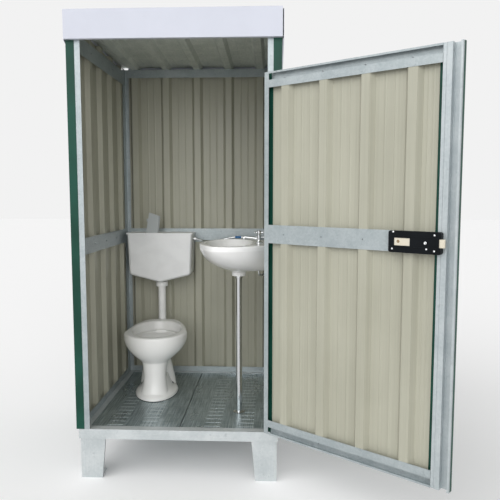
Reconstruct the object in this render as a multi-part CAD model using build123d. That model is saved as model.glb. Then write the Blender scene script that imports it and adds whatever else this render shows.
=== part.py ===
"""Portable toilet cabin: galvanised frame, ribbed sheet walls, swinging door, pan, cistern and basin.

Millimetres, +Z up. The origin is the centre of the footprint on the ground, and the doorway faces -Y.
"""
from build123d import *
from math import cos, radians, sin, tan
import os

# Base frame and legs
cabin_width = 1000.0
cabin_depth = 1000.0
leg_height = 206.0
beam_height = 50.0
beam_flange = 45.0
beam_gauge = 3.0
leg_inset = 6.5
leg_top_width = 126.0
leg_foot_width = 107.0
leg_gauge = 3.0
leg_lip = 14.0
anchor_hole_radius = 7.0
anchor_from_corner = 52.0

# Floor planks
plank_gauge = 2.0
plank_recess = 4.0
plank_lip = 12.0
plank_seam = 5.0
plank_end_gap = 1.0
emboss_length = 86.0
emboss_width = 15.0
emboss_height = 1.6
emboss_pitch = 50.0
emboss_rows = 18
emboss_from_middle = 84.0

# Wall build-up, from the outside inwards
wall_overhang = 11.0
trim_gauge = 1.5
trim_leg = 40.0
sheet_depth = 24.0
sheet_gauge = 1.2
rail_gauge = 2.0
fit_gap = 0.3

# Ribs of the sheets: narrow ribs point inwards and wide pans face out
rib_pitch = 200.5
rib_crown_half = 18.5
rib_mouth_half = 35.0
swage_half = 6.0
swage_depth = 1.6

# Posts and rails of the cabin
post_face = 41.5
post_depth = 45.0
rear_post_side_leg = 56.0
rear_post_back_leg = 24.0
mid_rail_height = 86.0
mid_rail_bottom = 1122.0
foot_rail_height = 34.0
side_top_rail_bottom = 2118.0
side_top_rail_height = 84.0
end_top_rail_height = 50.0
back_rib_offset = -22.0
side_rib_offset = 0.0

# Roof
front_eaves = 2260.0
roof_slope = 2.5
roof_back_overhang = 16.0
roof_side_overhang = 7.0
roof_trim_drop = 132.0
roof_trim_top = 46.0
roof_trim_lip = 13.0
rear_trim_drop = 96.0

# Front fascia
fascia_height = 135.0
fascia_side_gap = 2.0
fascia_gauge = 2.0
fascia_lap = 24.0

# Door leaf, measured along the leaf from its hinge edge and inwards-out from its inner face
door_gap = 5.5
door_bottom = 281.0
door_height = 1701.0
lock_lap = 18.0
leaf_gauge = 1.6
door_side_gap = 3.0
door_face_strip = 34.0
door_groove = 36.0
door_edge_lip = 8.0
hinge_strip = 22.0
hinge_edge_wrap = 2.0
lock_strip_width = 36.0
lock_groove = 38.0
lock_gap = 19.0
lock_lip = 13.0
lock_lip_set = 2.5
door_sheet_gap = 8.0
door_rib_first = 111.5
door_trim_reach = 62.0
door_mid_rail_bottom = 1203.0
door_mid_rail_height = 85.0
door_open_angle = 143.08

# Hinges
hinge_set = 6.0
knuckle_radius = 5.0
knuckle_clearance = 0.4
hinge_pin_radius = 2.4
pin_clearance = 0.05
hinge_height = 84.0
barrel_height = 27.0
barrel_gap = 1.5
hinge_flap = 36.0
hinge_flap_gauge = 2.0
hinge_levels = (420.0, 1130.0, 1840.0)
fixed_flap_width = 20.0
hinge_joggle = 1.0

# Latch
latch_from_groove = 13.0
latch_length = 212.0
latch_depth = 24.0
latch_wall = 2.0
latch_corner = 8.0
latch_notch = 7.0
bolt_height = 32.0
bolt_thickness = 8.0
bolt_front_gap = 13.5
bolt_clearance = 0.5
bolt_proud = 14.0
bolt_length = 206.0
window_from_end = 24.0
window_length = 65.0
ridge_height = 1.6
ridge_width = 4.0
dome_radius = 9.0
dome_height = 4.0
dome_from_end = 62.0

# Toilet pan, in its own frame: the flush pipe axis is its origin and its front points to -Y
pan_turn = 4.5
pan_rim_height = 369.0
pan_front = 520.0
pan_half_width = 176.0
pan_back_half_width = 107.0
pan_back_edge = 26.0
pan_rim_depth = 34.0
pan_rim_round = 9.0
pan_neck_height = 232.0
pan_column_height = 116.0
pan_column_half_width = 66.0
pan_column_front = 466.0
pan_foot_half_width = 88.0
pan_foot_front = 505.0
pan_foot_thickness = 22.0
pan_housing_half_width = 108.0
pan_housing_front = 360.0
pan_housing_back = 180.0
pan_bowl_half_width = 122.0
pan_bowl_half_length = 194.0
pan_bowl_middle = 289.0
pan_bowl_depth = 150.0
pan_bolt_radius = 6.0
pan_bolt_side = 88.0
pan_bolt_back = 297.0
pan_horn_radius = 29.0
pan_horn_length = 80.0
pan_horn_drop = 65.0
pan_socket_depth = 22.0

# Flush pipe and cistern
cistern_side_gap = 3.0
pipe_from_wall = 76.0
pipe_radius = 24.0
pipe_bend = 40.0
nut_radius = 37.0
nut_height = 30.0
cistern_top_width = 419.0
cistern_foot_width = 390.0
cistern_top = 1187.0
cistern_side_foot = 921.0
cistern_low_point = 871.0
cistern_depth = 143.0
cistern_wall = 4.0
cistern_corner = 24.0
cistern_round = 16.0
cistern_lid = 9.0
cistern_lid_lap = 3.0

# Folded plate standing on the cistern
plate_gauge = 2.0
plate_flange = 14.0
plate_fold_angle = 40.0
plate_flange_slant = 3.0
plate_from_back = 111.0
plate_outline = ((-91.0, 0.0), (-18.0, 0.0), (-7.0, 106.5), (-68.0, 127.0))
plate_lug_level = 70.0
plate_lug_height = 18.0
plate_lug_width = 6.0

# Supply: a nut on the cistern's side and a bent pipe behind the basin to the tap
supply_radius = 5.5
supply_bend = 22.0
supply_nut_radius = 11.0
supply_nut_length = 20.0
supply_level = 1148.0
supply_sag = 20.0
supply_from_wall = 31.0
supply_rear_level = 1154.0
supply_under_drop = 176.0
supply_knots = (60.0, 120.0, 260.0)
supply_side_knots = (365.0, 120.0)
supply_side_fall = 44.0

# Basin, tap and waste pipe on the right-hand wall
basin_y = -215.0
basin_above_rail = 52.0
basin_half_width = 272.0
basin_projection = 400.5
basin_rim_depth = 24.0
basin_back_height = 136.0
basin_belly = 20.0
basin_belly_half_width = 92.0
basin_bowl_half_length = 127.0
basin_bowl_half_width = 238.0
basin_bowl_from_wall = 246.0
basin_bowl_depth = 106.0
basin_rim_round = 7.0
waste_from_wall = 194.5
waste_radius = 16.0
waste_collar_radius = 37.0
waste_collar_drop = 175.0
waste_nut_height = 12.0
rose_radius = 33.0
rose_height = 5.0
tap_from_wall = 88.0
tap_base_radius = 20.0
tap_base_height = 6.0
tap_stem_radius = 10.5
tap_stem_height = 46.0
tap_tail_radius = 6.0
tap_tail_below = 14.0
spout_radius = 6.5
spout_length = 82.0
spout_level = 24.0
spout_rise = 6.0
spout_nose = 10.0
tap_lever_radius = 4.5
tap_lever_reach = 22.0
tap_hub_radius = 11.0
tap_hub_height = 18.0
spindle_radius = 4.0
spindle_height = 10.0
running_gap = 0.5

# Places worked out from the sizes above
half_width = cabin_width / 2
half_depth = cabin_depth / 2
front_plane = -half_depth
beam_top = leg_height + beam_height
floor_level = beam_top - plank_recess
trim_outer = half_width + wall_overhang
wall_outer = trim_outer - trim_gauge
rib_plane = wall_outer - sheet_depth
rail_inner = rib_plane - rail_gauge
back_trim_outer = half_depth + wall_overhang
back_wall_outer = back_trim_outer - trim_gauge
back_rib_plane = back_wall_outer - sheet_depth
back_rail_inner = back_rib_plane - rail_gauge
front_post_edge = rib_plane - post_face
rear_reach = back_rail_inner - rear_post_side_leg
front_reach = front_plane + post_depth
leaf_edge = front_post_edge - door_side_gap
leaf_width = leaf_edge + front_post_edge + lock_lap
hinge_x = leaf_edge + hinge_set
leaf_inner = front_plane - door_gap
leaf_frame_depth = leaf_gauge + sheet_depth
lock_strip_end = leaf_width - lock_groove
lock_strip_start = lock_strip_end - lock_strip_width
door_sheet_start = hinge_strip + door_sheet_gap
door_sheet_end = lock_strip_start - lock_gap
latch_end = lock_strip_end - latch_from_groove
latch_start = latch_end - latch_length
bolt_end = latch_end + bolt_proud
bolt_start = bolt_end - bolt_length
window_start = latch_start + window_from_end
leaf_depth = leaf_frame_depth + trim_gauge
leaf_outer = leaf_inner - leaf_depth
hinge_y = leaf_outer - knuckle_radius - knuckle_clearance
door_top = door_bottom + door_height
basin_rim = mid_rail_bottom + basin_above_rail
latch_middle = door_mid_rail_bottom + door_mid_rail_height / 2
cistern_left = -rib_plane + rear_post_back_leg + cistern_side_gap
pipe_x = cistern_left + cistern_top_width / 2
pipe_y = back_rail_inner - pipe_from_wall
pan_foot = floor_level + emboss_height
pan_rim = floor_level + pan_rim_height
fascia_top = front_eaves + sheet_depth + trim_gauge + fascia_gauge + fit_gap
fascia_bottom = fascia_top - fascia_height
fascia_front = front_plane - trim_gauge - fascia_lap
basin_x = rail_inner
tap_x = basin_x - tap_from_wall
waste_x = basin_x - waste_from_wall


def prism_up(points, low, high):
    """A plan outline (x, y) carried up from low to high."""
    face = Pos(0, 0, low) * Polygon(*points, align=None)
    return extrude(face, amount=high - low, dir=(0, 0, 1))


def prism_across(points, left, right):
    """A side outline (y, z) carried along X from left to right."""
    face = Plane.YZ.offset(left) * Polygon(*points, align=None)
    return extrude(face, amount=right - left, dir=(1, 0, 0))


def prism_back(points, near, far):
    """A front outline (x, z) carried along Y from near to far."""
    face = Plane.XZ.offset(-near) * Polygon(*points, align=None)
    return extrude(face, amount=far - near, dir=(0, 1, 0))


def block(x0, x1, y0, y1, z0, z1):
    """A plain bar between two corners."""
    return prism_up([(x0, y0), (x1, y0), (x1, y1), (x0, y1)], z0, z1)


def folded(line, gauge):
    """Section of a sheet folded along a line: its left side is set off by the gauge, mitred at the bends."""
    directions = []
    for start, end in zip(line, line[1:]):
        run = (Vector(*end) - Vector(*start)).normalized()
        directions.append(run)
    offset = []
    for index, point in enumerate(line):
        before = directions[max(index - 1, 0)]
        after = directions[min(index, len(directions) - 1)]
        left_before = Vector(-before.Y, before.X)
        left_after = Vector(-after.Y, after.X)
        shift = (left_before + left_after) * (gauge / (1 + left_before.dot(left_after)))
        offset.append((point[0] + shift.X, point[1] + shift.Y))
    return list(line) + offset[::-1]


def ribbed_line(start, end, ribs):
    """Line of a ribbed sheet: along it, then how far in from the pans' outer face it lies."""
    depth = sheet_depth - sheet_gauge
    line = [(start, 0.0)]
    pan_start = start
    for centre in list(ribs) + [None]:
        pan_end = end if centre is None else centre - rib_mouth_half
        room = pan_end - pan_start
        if room > 8 * swage_half:
            for share in (1 / 3, 2 / 3):
                middle = pan_start + room * share
                line += [(middle - swage_half, 0.0), (middle, swage_depth), (middle + swage_half, 0.0)]
        if centre is not None:
            line += [(centre - rib_mouth_half, 0.0), (centre - rib_crown_half, depth)]
            line += [(centre + rib_crown_half, depth), (centre + rib_mouth_half, 0.0)]
            pan_start = centre + rib_mouth_half
    line.append((end, 0.0))
    return line


def ribs_between(start, end, offset):
    """Rib centres a pitch apart, set off from the middle, that fit whole between two ends."""
    middle = (start + end) / 2 + offset
    count = int((end - start) / rib_pitch) + 2
    places = [middle + rib_pitch * step for step in range(-count, count + 1)]
    return [place for place in places if start + rib_mouth_half < place < end - rib_mouth_half]


# The roof leans back: the frame below has its origin at the front eaves and its Y down the slope
roof_frame = Location((0, front_plane, front_eaves), (-roof_slope, 0, 0))


def under_roof(shape):
    """The shape cut off by the underside of the roof sheet."""
    slab = Box(3 * cabin_width, 3 * cabin_depth, 2 * cabin_width)
    above = roof_frame * Pos(0, half_depth, cabin_width) * slab
    return shape - above


# Base frame: channels with their flanges inwards, mitred at the corners

beam_section = [
    (half_depth, leg_height),
    (half_depth, beam_top),
    (half_depth - beam_flange, beam_top),
    (half_depth - beam_flange, beam_top - beam_gauge),
    (half_depth - beam_gauge, beam_top - beam_gauge),
    (half_depth - beam_gauge, leg_height + beam_gauge),
    (half_depth - beam_flange, leg_height + beam_gauge),
    (half_depth - beam_flange, leg_height),
]
reach = 2 * beam_flange
rear_mitre = prism_up(
    [
        (-half_width, half_depth),
        (half_width, half_depth),
        (half_width - reach, half_depth - reach),
        (-half_width + reach, half_depth - reach),
    ],
    0,
    2 * beam_top,
)
base_rear = prism_across(beam_section, -half_width, half_width) & rear_mitre
base_front = mirror(base_rear, Plane.XZ)
side_section = [(y - half_depth + half_width, z) for y, z in beam_section]
right_mitre = prism_up(
    [
        (half_width, -half_depth),
        (half_width, half_depth),
        (half_width - reach, half_depth - reach),
        (half_width - reach, -half_depth + reach),
    ],
    0,
    2 * beam_top,
)
base_right = prism_back(side_section, -half_depth, half_depth) & right_mitre
base_left = mirror(base_right, Plane.YZ)

# Legs: two tapered plates folded round the corner, with lips, a cap and a drilled sole


def corner_leg():
    """The right-hand rear leg."""
    x_out = half_width - leg_inset
    y_out = half_depth - leg_inset
    top, foot = leg_top_width, leg_foot_width
    rear = [(x_out, 0), (x_out, leg_height), (x_out - top, leg_height), (x_out - foot, 0)]
    side = [(y_out, 0), (y_out, leg_height), (y_out - top, leg_height), (y_out - foot, 0)]
    leg = prism_back(rear, y_out - leg_gauge, y_out) + prism_across(side, x_out - leg_gauge, x_out)
    rear_lip = [
        (x_out - foot, 0),
        (x_out - top, leg_height),
        (x_out - top + leg_gauge, leg_height),
        (x_out - foot + leg_gauge, 0),
    ]
    side_lip = [
        (y_out - foot, 0),
        (y_out - top, leg_height),
        (y_out - top + leg_gauge, leg_height),
        (y_out - foot + leg_gauge, 0),
    ]
    leg += prism_back(rear_lip, y_out - leg_lip, y_out)
    leg += prism_across(side_lip, x_out - leg_lip, x_out)
    sole_side = foot - 2 * leg_gauge
    sole = block(x_out - sole_side, x_out, y_out - sole_side, y_out, 0, leg_gauge)
    anchor = Pos(x_out - anchor_from_corner, y_out - anchor_from_corner, 0)
    sole -= anchor * Cylinder(anchor_hole_radius, 4 * leg_gauge)
    cap = block(x_out - sole_side, x_out, y_out - sole_side, y_out, leg_height - leg_gauge, leg_height)
    return leg + sole + cap


leg_rear_right = corner_leg()
leg_rear_left = mirror(leg_rear_right, Plane.YZ)
leg_front_right = mirror(leg_rear_right, Plane.XZ)
leg_front_left = mirror(leg_front_right, Plane.YZ)

# Floor planks: trays turned over, carried on the lower flanges, with two columns of raised bars

plank_foot = leg_height + beam_gauge
plank_outer = half_width - beam_gauge - plank_end_gap
plank_inner = plank_seam / 2
plank_tray = [
    (plank_inner + plank_lip, plank_foot),
    (plank_inner, plank_foot),
    (plank_inner, floor_level),
    (plank_outer, floor_level),
    (plank_outer, plank_foot),
    (plank_outer - plank_lip, plank_foot),
]
plank_half_length = half_depth - beam_gauge - plank_end_gap
plank_section = folded(plank_tray[::-1], plank_gauge)
floor_plank_right = prism_back(plank_section, -plank_half_length, plank_half_length)
plank_middle = (plank_outer + plank_inner) / 2
raised_bars = []
for row in range(emboss_rows):
    bar_y = (row - (emboss_rows - 1) / 2) * emboss_pitch
    for side in (-1, 1):
        bar_x = plank_middle + side * emboss_from_middle
        slope = emboss_height * 2
        bar = Wedge(
            emboss_length,
            emboss_height + plank_gauge / 2,
            emboss_width,
            slope,
            slope,
            emboss_length - slope,
            emboss_width - slope,
            align=(Align.CENTER, Align.MIN, Align.CENTER),
        )
        raised_bars.append(Pos(bar_x, bar_y, floor_level - plank_gauge / 2) * Rot(90, 0, 0) * bar)
floor_plank_right = floor_plank_right + raised_bars
floor_plank_left = mirror(floor_plank_right, Plane.YZ)

# Corner posts: folded channels beside the doorway, angles in the rear corners

front_post_line = [
    (rib_plane, front_reach),
    (rib_plane, front_plane),
    (front_post_edge, front_plane),
]
post_section = folded(front_post_line[::-1], rail_gauge)
post_front_right = under_roof(prism_up(post_section, beam_top, front_eaves + sheet_depth))
post_front_left = mirror(post_front_right, Plane.YZ)
rear_post_line = [
    (rib_plane, rear_reach),
    (rib_plane, back_rib_plane),
    (rib_plane - rear_post_back_leg, back_rib_plane),
]
rear_post_section = folded(rear_post_line, rail_gauge)
post_rear_right = under_roof(prism_up(rear_post_section, beam_top, front_eaves))
post_rear_left = mirror(post_rear_right, Plane.YZ)

# Rails: flat strips against the ribs, from post to post


def side_rail(bottom, height):
    """A strip along the right-hand wall."""
    return block(rail_inner, rib_plane, front_reach, rear_reach, bottom, bottom + height)


def back_rail(bottom, height):
    """A strip along the back wall, between the rear posts."""
    inner = rib_plane - rear_post_back_leg
    return block(-inner, inner, back_rail_inner, back_rib_plane, bottom, bottom + height)


mid_rail_right = side_rail(mid_rail_bottom, mid_rail_height)
mid_rail_left = mirror(mid_rail_right, Plane.YZ)
mid_rail_back = back_rail(mid_rail_bottom, mid_rail_height)
foot_rail_right = side_rail(beam_top, foot_rail_height)
foot_rail_left = mirror(foot_rail_right, Plane.YZ)
foot_rail_back = back_rail(beam_top, foot_rail_height)
top_rail_right = side_rail(side_top_rail_bottom, side_top_rail_height)
top_rail_left = mirror(top_rail_right, Plane.YZ)
back_eaves = front_eaves - (back_rib_plane - front_plane) * tan(radians(roof_slope))
top_rail_back = under_roof(back_rail(back_eaves - end_top_rail_height, end_top_rail_height + rail_gauge))
front_rail_back = front_plane + rail_gauge
top_rail_front = under_roof(
    block(
        -rib_plane + rail_gauge,
        rib_plane - rail_gauge,
        front_rail_back,
        front_rail_back + rail_gauge,
        front_eaves - end_top_rail_height,
        front_eaves,
    )
)

# Wall sheets

side_ribs = ribs_between(front_plane, back_rib_plane, side_rib_offset)
side_line = ribbed_line(front_plane, back_rib_plane, side_ribs)
side_section_points = [(wall_outer - inward, along) for along, inward in folded(side_line, sheet_gauge)]
right_wall_sheet = under_roof(prism_up(side_section_points, beam_top, front_eaves))
left_wall_sheet = mirror(right_wall_sheet, Plane.YZ)
back_ribs = ribs_between(-wall_outer, wall_outer, back_rib_offset)
back_line = ribbed_line(-wall_outer, wall_outer, back_ribs)
back_section_points = [(along, back_wall_outer - inward) for along, inward in folded(back_line, sheet_gauge)]
back_wall_sheet = under_roof(prism_up(back_section_points, beam_top, front_eaves))

# Painted corner trims outside the sheets

front_trim_line = [
    (wall_outer, front_plane + trim_leg),
    (wall_outer, front_plane),
    (trim_outer - trim_leg, front_plane),
]
trim_section = folded(front_trim_line, trim_gauge)
front_trim_right = under_roof(prism_up(trim_section, beam_top, front_eaves))
front_trim_left = mirror(front_trim_right, Plane.YZ)
rear_trim_line = [
    (wall_outer, back_wall_outer - trim_leg),
    (wall_outer, back_wall_outer),
    (wall_outer - trim_leg, back_wall_outer),
]
rear_trim_section = folded(rear_trim_line[::-1], trim_gauge)
rear_trim_right = under_roof(prism_up(rear_trim_section, beam_top, front_eaves))
rear_trim_left = mirror(rear_trim_right, Plane.YZ)

# Roof sheet, ribs down and running to the back, and the trims round its edges

roof_half_width = trim_outer + roof_side_overhang
roof_length = (back_trim_outer + roof_back_overhang - front_plane) / cos(radians(roof_slope))
roof_ribs = ribs_between(-roof_half_width, roof_half_width, back_rib_offset)
roof_line = ribbed_line(-roof_half_width, roof_half_width, roof_ribs)
roof_section = [(along, sheet_depth - inward) for along, inward in folded(roof_line, sheet_gauge)]
roof_sheet = roof_frame * prism_back(roof_section, 0, roof_length)
side_trim_line = [
    (roof_half_width - roof_trim_top, sheet_depth),
    (roof_half_width, sheet_depth),
    (roof_half_width, sheet_depth - roof_trim_drop),
    (roof_half_width - roof_side_overhang + 1, sheet_depth - roof_trim_drop - roof_trim_lip),
]
roof_trim_right = roof_frame * prism_back(folded(side_trim_line, trim_gauge), 0, roof_length)
roof_trim_left = mirror(roof_trim_right, Plane.YZ)
end_trim_line = [
    (roof_length - roof_trim_top, sheet_depth),
    (roof_length, sheet_depth),
    (roof_length, sheet_depth - rear_trim_drop),
    (roof_length - roof_trim_lip / 2, sheet_depth - rear_trim_drop - roof_trim_lip),
]
rear_trim_reach = roof_half_width - roof_trim_top
rear_trim_section = folded(end_trim_line, trim_gauge)
roof_trim_rear = roof_frame * prism_across(rear_trim_section, -rear_trim_reach, rear_trim_reach)

# Fascia: a shallow tray across the front, with its returns pointing back

fascia_half = trim_outer + fascia_side_gap
fascia_line = [
    (front_plane + fascia_lap, fascia_top - fascia_gauge),
    (fascia_front + fascia_gauge, fascia_top - fascia_gauge),
    (fascia_front + fascia_gauge, fascia_bottom + fascia_gauge),
    (front_plane - trim_gauge, fascia_bottom + fascia_gauge),
]
front_fascia = prism_across(folded(fascia_line[::-1], fascia_gauge), -fascia_half, fascia_half)
for side in (-1, 1):
    cheek_in = side * (fascia_half - fascia_gauge)
    cheek_out = side * fascia_half
    front_fascia += block(
        min(cheek_in, cheek_out),
        max(cheek_in, cheek_out),
        fascia_front,
        front_plane - trim_gauge,
        fascia_bottom,
        fascia_top,
    )

# Door leaf, drawn shut and then swung to the open angle of the photographed cabin


def leaf_point(along, out):
    """Plan point of the shut leaf: along it from the hinge edge, and outwards from its inner face."""
    return (leaf_edge - along, leaf_inner - out)


def swung(shape):
    """A shape of the shut leaf, turned about the hinge pins to the open pose."""
    pin = Pos(hinge_x, hinge_y, 0)
    return pin * Rot(0, 0, door_open_angle) * pin.inverse() * shape


def leaf_upright(line, low, high, gauge=leaf_gauge):
    """A folded upright of the leaf: its line is set off towards the inside of the fold."""
    section = [leaf_point(along, out) for along, out in folded(line, gauge)]
    return prism_up(section, low, high)


hinge_stile_line = [
    (-hinge_edge_wrap, leaf_frame_depth),
    (-hinge_edge_wrap, 0),
    (hinge_strip, 0),
]
door_hinge_stile = leaf_upright(hinge_stile_line, door_bottom, door_top)
lock_stile_line = [
    (lock_strip_start, lock_lip_set),
    (lock_strip_start + lock_lip, lock_lip_set),
    (lock_strip_start + lock_lip + lock_lip_set, 0),
    (lock_strip_end, 0),
    (lock_strip_end, sheet_depth),
    (leaf_width - leaf_gauge, sheet_depth),
    (leaf_width - leaf_gauge, leaf_gauge),
    (leaf_width - door_edge_lip, leaf_gauge),
]
door_lock_stile = leaf_upright(lock_stile_line, door_bottom, door_top)
rail_start = hinge_strip + fit_gap
rail_end = lock_strip_start - fit_gap


def perimeter_rail(edge, inward):
    """The leaf's top or bottom rail: an edge flange, a groove open to the inside and a face strip."""
    line = [
        (0, door_edge_lip),
        (0, 0),
        (leaf_frame_depth, 0),
        (leaf_frame_depth, door_groove + leaf_gauge),
        (leaf_gauge, door_groove + leaf_gauge),
        (leaf_gauge, door_groove + door_face_strip),
    ]
    section = [(leaf_inner - out, edge + inward * rise) for out, rise in folded(line, leaf_gauge)]
    return prism_across(section, leaf_edge - rail_end, leaf_edge - rail_start)


door_top_rail = perimeter_rail(door_top, -1)
door_bottom_rail = perimeter_rail(door_bottom, 1)
door_mid_rail = block(
    leaf_edge - rail_end,
    leaf_edge - rail_start,
    leaf_inner - leaf_gauge,
    leaf_inner,
    door_mid_rail_bottom,
    door_mid_rail_bottom + door_mid_rail_height,
)
door_ribs = [door_rib_first + rib_pitch * index for index in range(int(leaf_width / rib_pitch) + 1)]
door_ribs = [place for place in door_ribs if place + rib_mouth_half < door_sheet_end]
door_line = ribbed_line(door_sheet_start, door_sheet_end, door_ribs)
door_sheet_section = [
    leaf_point(along, leaf_frame_depth - inward) for along, inward in folded(door_line, sheet_gauge)
]
sheet_end_gap = door_groove + leaf_gauge + fit_gap
door_sheet = prism_up(door_sheet_section, door_bottom + sheet_end_gap, door_top - sheet_end_gap)
hinge_trim_line = [
    (-hinge_edge_wrap, leaf_frame_depth / 2),
    (-hinge_edge_wrap, leaf_frame_depth),
    (door_trim_reach, leaf_frame_depth),
]
door_trim_hinge = leaf_upright(hinge_trim_line, door_bottom, door_top, trim_gauge)
lock_trim_line = [
    (door_sheet_end - door_trim_reach / 2, leaf_frame_depth),
    (leaf_width, leaf_frame_depth),
    (leaf_width, leaf_frame_depth / 2),
]
door_trim_lock = leaf_upright(lock_trim_line, door_bottom, door_top, trim_gauge)

# Hinges: the post half carries the pin and two knuckles, the door half has the knuckle between them


def knuckle(level, height, bore=0.0):
    """A barrel round the hinge pin."""
    barrel = Pos(hinge_x, hinge_y, level) * Cylinder(knuckle_radius, height)
    if bore:
        barrel -= Pos(hinge_x, hinge_y, level) * Cylinder(bore, 2 * height)
    return barrel


def post_hinge(level):
    """The half fixed to the post."""
    low, high = level - hinge_height / 2, level + hinge_height / 2
    web_x = hinge_x + knuckle_radius - hinge_flap_gauge
    web_front = hinge_y + knuckle_radius + hinge_joggle
    half = block(web_x, web_x + hinge_flap_gauge, web_front, front_plane, low, high)
    half += block(web_x, web_x + fixed_flap_width, front_plane - hinge_flap_gauge, front_plane, low, high)
    for side in (-1, 1):
        middle = level + side * (barrel_height + barrel_gap)
        half += knuckle(middle, barrel_height)
        half += block(
            web_x,
            web_x + hinge_flap_gauge,
            hinge_y,
            web_front,
            middle - barrel_height / 2,
            middle + barrel_height / 2,
        )
    half += Pos(hinge_x, hinge_y, level) * Cylinder(hinge_pin_radius, hinge_height)
    return half


def door_hinge(level):
    """The half fixed to the outside of the leaf."""
    low, high = level - hinge_height / 2, level + hinge_height / 2
    inner_x = hinge_x - knuckle_radius - hinge_joggle
    half = block(inner_x - hinge_flap, inner_x, leaf_outer - hinge_flap_gauge, leaf_outer, low, high)
    half += block(
        inner_x,
        hinge_x,
        leaf_outer - hinge_flap_gauge,
        leaf_outer,
        level - barrel_height / 2,
        level + barrel_height / 2,
    )
    half += knuckle(level, barrel_height)
    half -= Pos(hinge_x, hinge_y, level) * Cylinder(hinge_pin_radius + pin_clearance, 2 * hinge_height)
    return half


post_hinges = Compound([post_hinge(level) for level in hinge_levels])
door_hinges = Compound([door_hinge(level) for level in hinge_levels])

# Latch: a moulded case on the mid rail and the bolt that slides in it

case_face = leaf_inner
case_middle = leaf_edge - latch_start - latch_length / 2
case_plane = Plane(origin=(case_middle, case_face, latch_middle), x_dir=(1, 0, 0), z_dir=(0, 1, 0))
case_sketch = case_plane * RectangleRounded(latch_length, door_mid_rail_height, latch_corner)
latch_case = extrude(case_sketch, amount=latch_depth, dir=(0, 1, 0))
case_end = leaf_edge - latch_start - latch_length
bolt_low = latch_middle - bolt_height / 2
bolt_high = latch_middle + bolt_height / 2
bolt_front = leaf_inner + bolt_front_gap
bolt_back = bolt_front + bolt_thickness
latch_case -= block(
    case_end + latch_wall,
    leaf_edge - bolt_start + latch_wall,
    case_face,
    bolt_back + bolt_clearance,
    bolt_low - bolt_clearance,
    bolt_high + bolt_clearance,
)
latch_case -= block(
    case_end - 1,
    case_end + latch_notch,
    case_face - 1,
    case_face + latch_depth + 1,
    bolt_low - bolt_clearance,
    bolt_high + bolt_clearance,
)
latch_case -= block(
    leaf_edge - window_start - window_length,
    leaf_edge - window_start,
    bolt_back,
    case_face + latch_depth + 1,
    bolt_low + 1,
    bolt_high - 1,
)
dome = scale(Sphere(1), by=(dome_radius, dome_height, dome_radius))
dome = dome & (Pos(0, dome_height / 2 - 0.5, 0) * Box(4 * dome_radius, dome_height + 1, 4 * dome_radius))
latch_case += Pos(leaf_edge - latch_end + dome_from_end, case_face + latch_depth, latch_middle) * dome
for side in (-1, 1):
    ridge_z = latch_middle + side * (bolt_height / 2 + ridge_width)
    latch_case += block(
        leaf_edge - latch_start - latch_length + 2 * latch_corner,
        leaf_edge - latch_start - latch_corner,
        case_face + latch_depth,
        case_face + latch_depth + ridge_height,
        ridge_z - ridge_width / 2,
        ridge_z + ridge_width / 2,
    )
latch_bolt = block(leaf_edge - bolt_end, leaf_edge - bolt_start, bolt_front, bolt_back, bolt_low, bolt_high)

# Toilet pan: one skin lofted from the foot through the column to the bowl, a rim plate with a shelf
# behind it, the trap's housing behind the column and the inlet horn under the shelf


def pan_outline(level, half_width, front, back, back_half):
    """Level outline of the pan: round in front, widest before the middle and straight across the back."""
    middle = front - half_width * 0.92
    right = [(back_half, -back), (half_width * 0.93, -(middle * 0.55 + back * 0.45)), (half_width, -middle)]
    for angle in (30, 60):
        right.append(
            (half_width * cos(radians(angle)), -(middle + (front - middle) * sin(radians(angle))))
        )
    left = [(-x, y) for x, y in reversed(right)]
    curve = Spline(*[(x, y, level) for x, y in right + [(0, -front)] + left])
    return make_face(curve + Line((-back_half, -back, level), (back_half, -back, level)))


rim_low = pan_rim - pan_rim_depth
neck = pan_foot + pan_neck_height
column = pan_foot + pan_column_height
bowl_fall = rim_low - neck
column_back = pan_housing_back + 60
skin = loft(
    [
        pan_outline(pan_foot, pan_foot_half_width, pan_foot_front, column_back - 30, pan_foot_half_width - 14),
        pan_outline(
            pan_foot + pan_foot_thickness,
            pan_foot_half_width - 7,
            pan_foot_front - 13,
            column_back - 20,
            pan_foot_half_width - 20,
        ),
        pan_outline(
            (pan_foot + column) / 2,
            pan_column_half_width + 5,
            pan_column_front + 8,
            column_back,
            pan_column_half_width / 2,
        ),
        pan_outline(column, pan_column_half_width, pan_column_front, column_back, pan_column_half_width / 2),
        pan_outline(
            (neck + column) / 2, pan_column_half_width + 3, pan_column_front, column_back, pan_column_half_width / 2
        ),
        pan_outline(
            neck, pan_column_half_width * 1.45, pan_column_front + 8, column_back - 35, pan_column_half_width * 0.7
        ),
        pan_outline(
            neck + bowl_fall * 0.3, pan_half_width * 0.76, pan_front - 30, column_back - 80, pan_back_half_width * 0.7
        ),
        pan_outline(
            neck + bowl_fall * 0.62,
            pan_half_width * 0.93,
            pan_front - 12,
            column_back - 135,
            pan_back_half_width * 0.84,
        ),
        pan_outline(rim_low, pan_half_width - 2, pan_front - 2, pan_back_edge + 34, pan_back_half_width - 6),
    ]
)
rim_plate = extrude(
    pan_outline(rim_low, pan_half_width, pan_front, pan_back_edge, pan_back_half_width), amount=pan_rim_depth
)
rim_plate = fillet(rim_plate.edges().filter_by(Plane.XY), pan_rim_round)
housing = loft(
    [
        pan_outline(
            pan_foot, pan_housing_half_width, pan_housing_front, pan_housing_back, pan_housing_half_width - 24
        ),
        pan_outline(
            pan_foot + pan_foot_thickness,
            pan_housing_half_width - 5,
            pan_housing_front - 4,
            pan_housing_back + 2,
            pan_housing_half_width - 28,
        ),
        pan_outline(
            neck, pan_column_half_width, pan_housing_front - 20, pan_housing_back + 14, pan_column_half_width / 2
        ),
    ]
)
horn_level = pan_rim - pan_horn_drop
horn_back = pipe_bend + fit_gap
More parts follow.
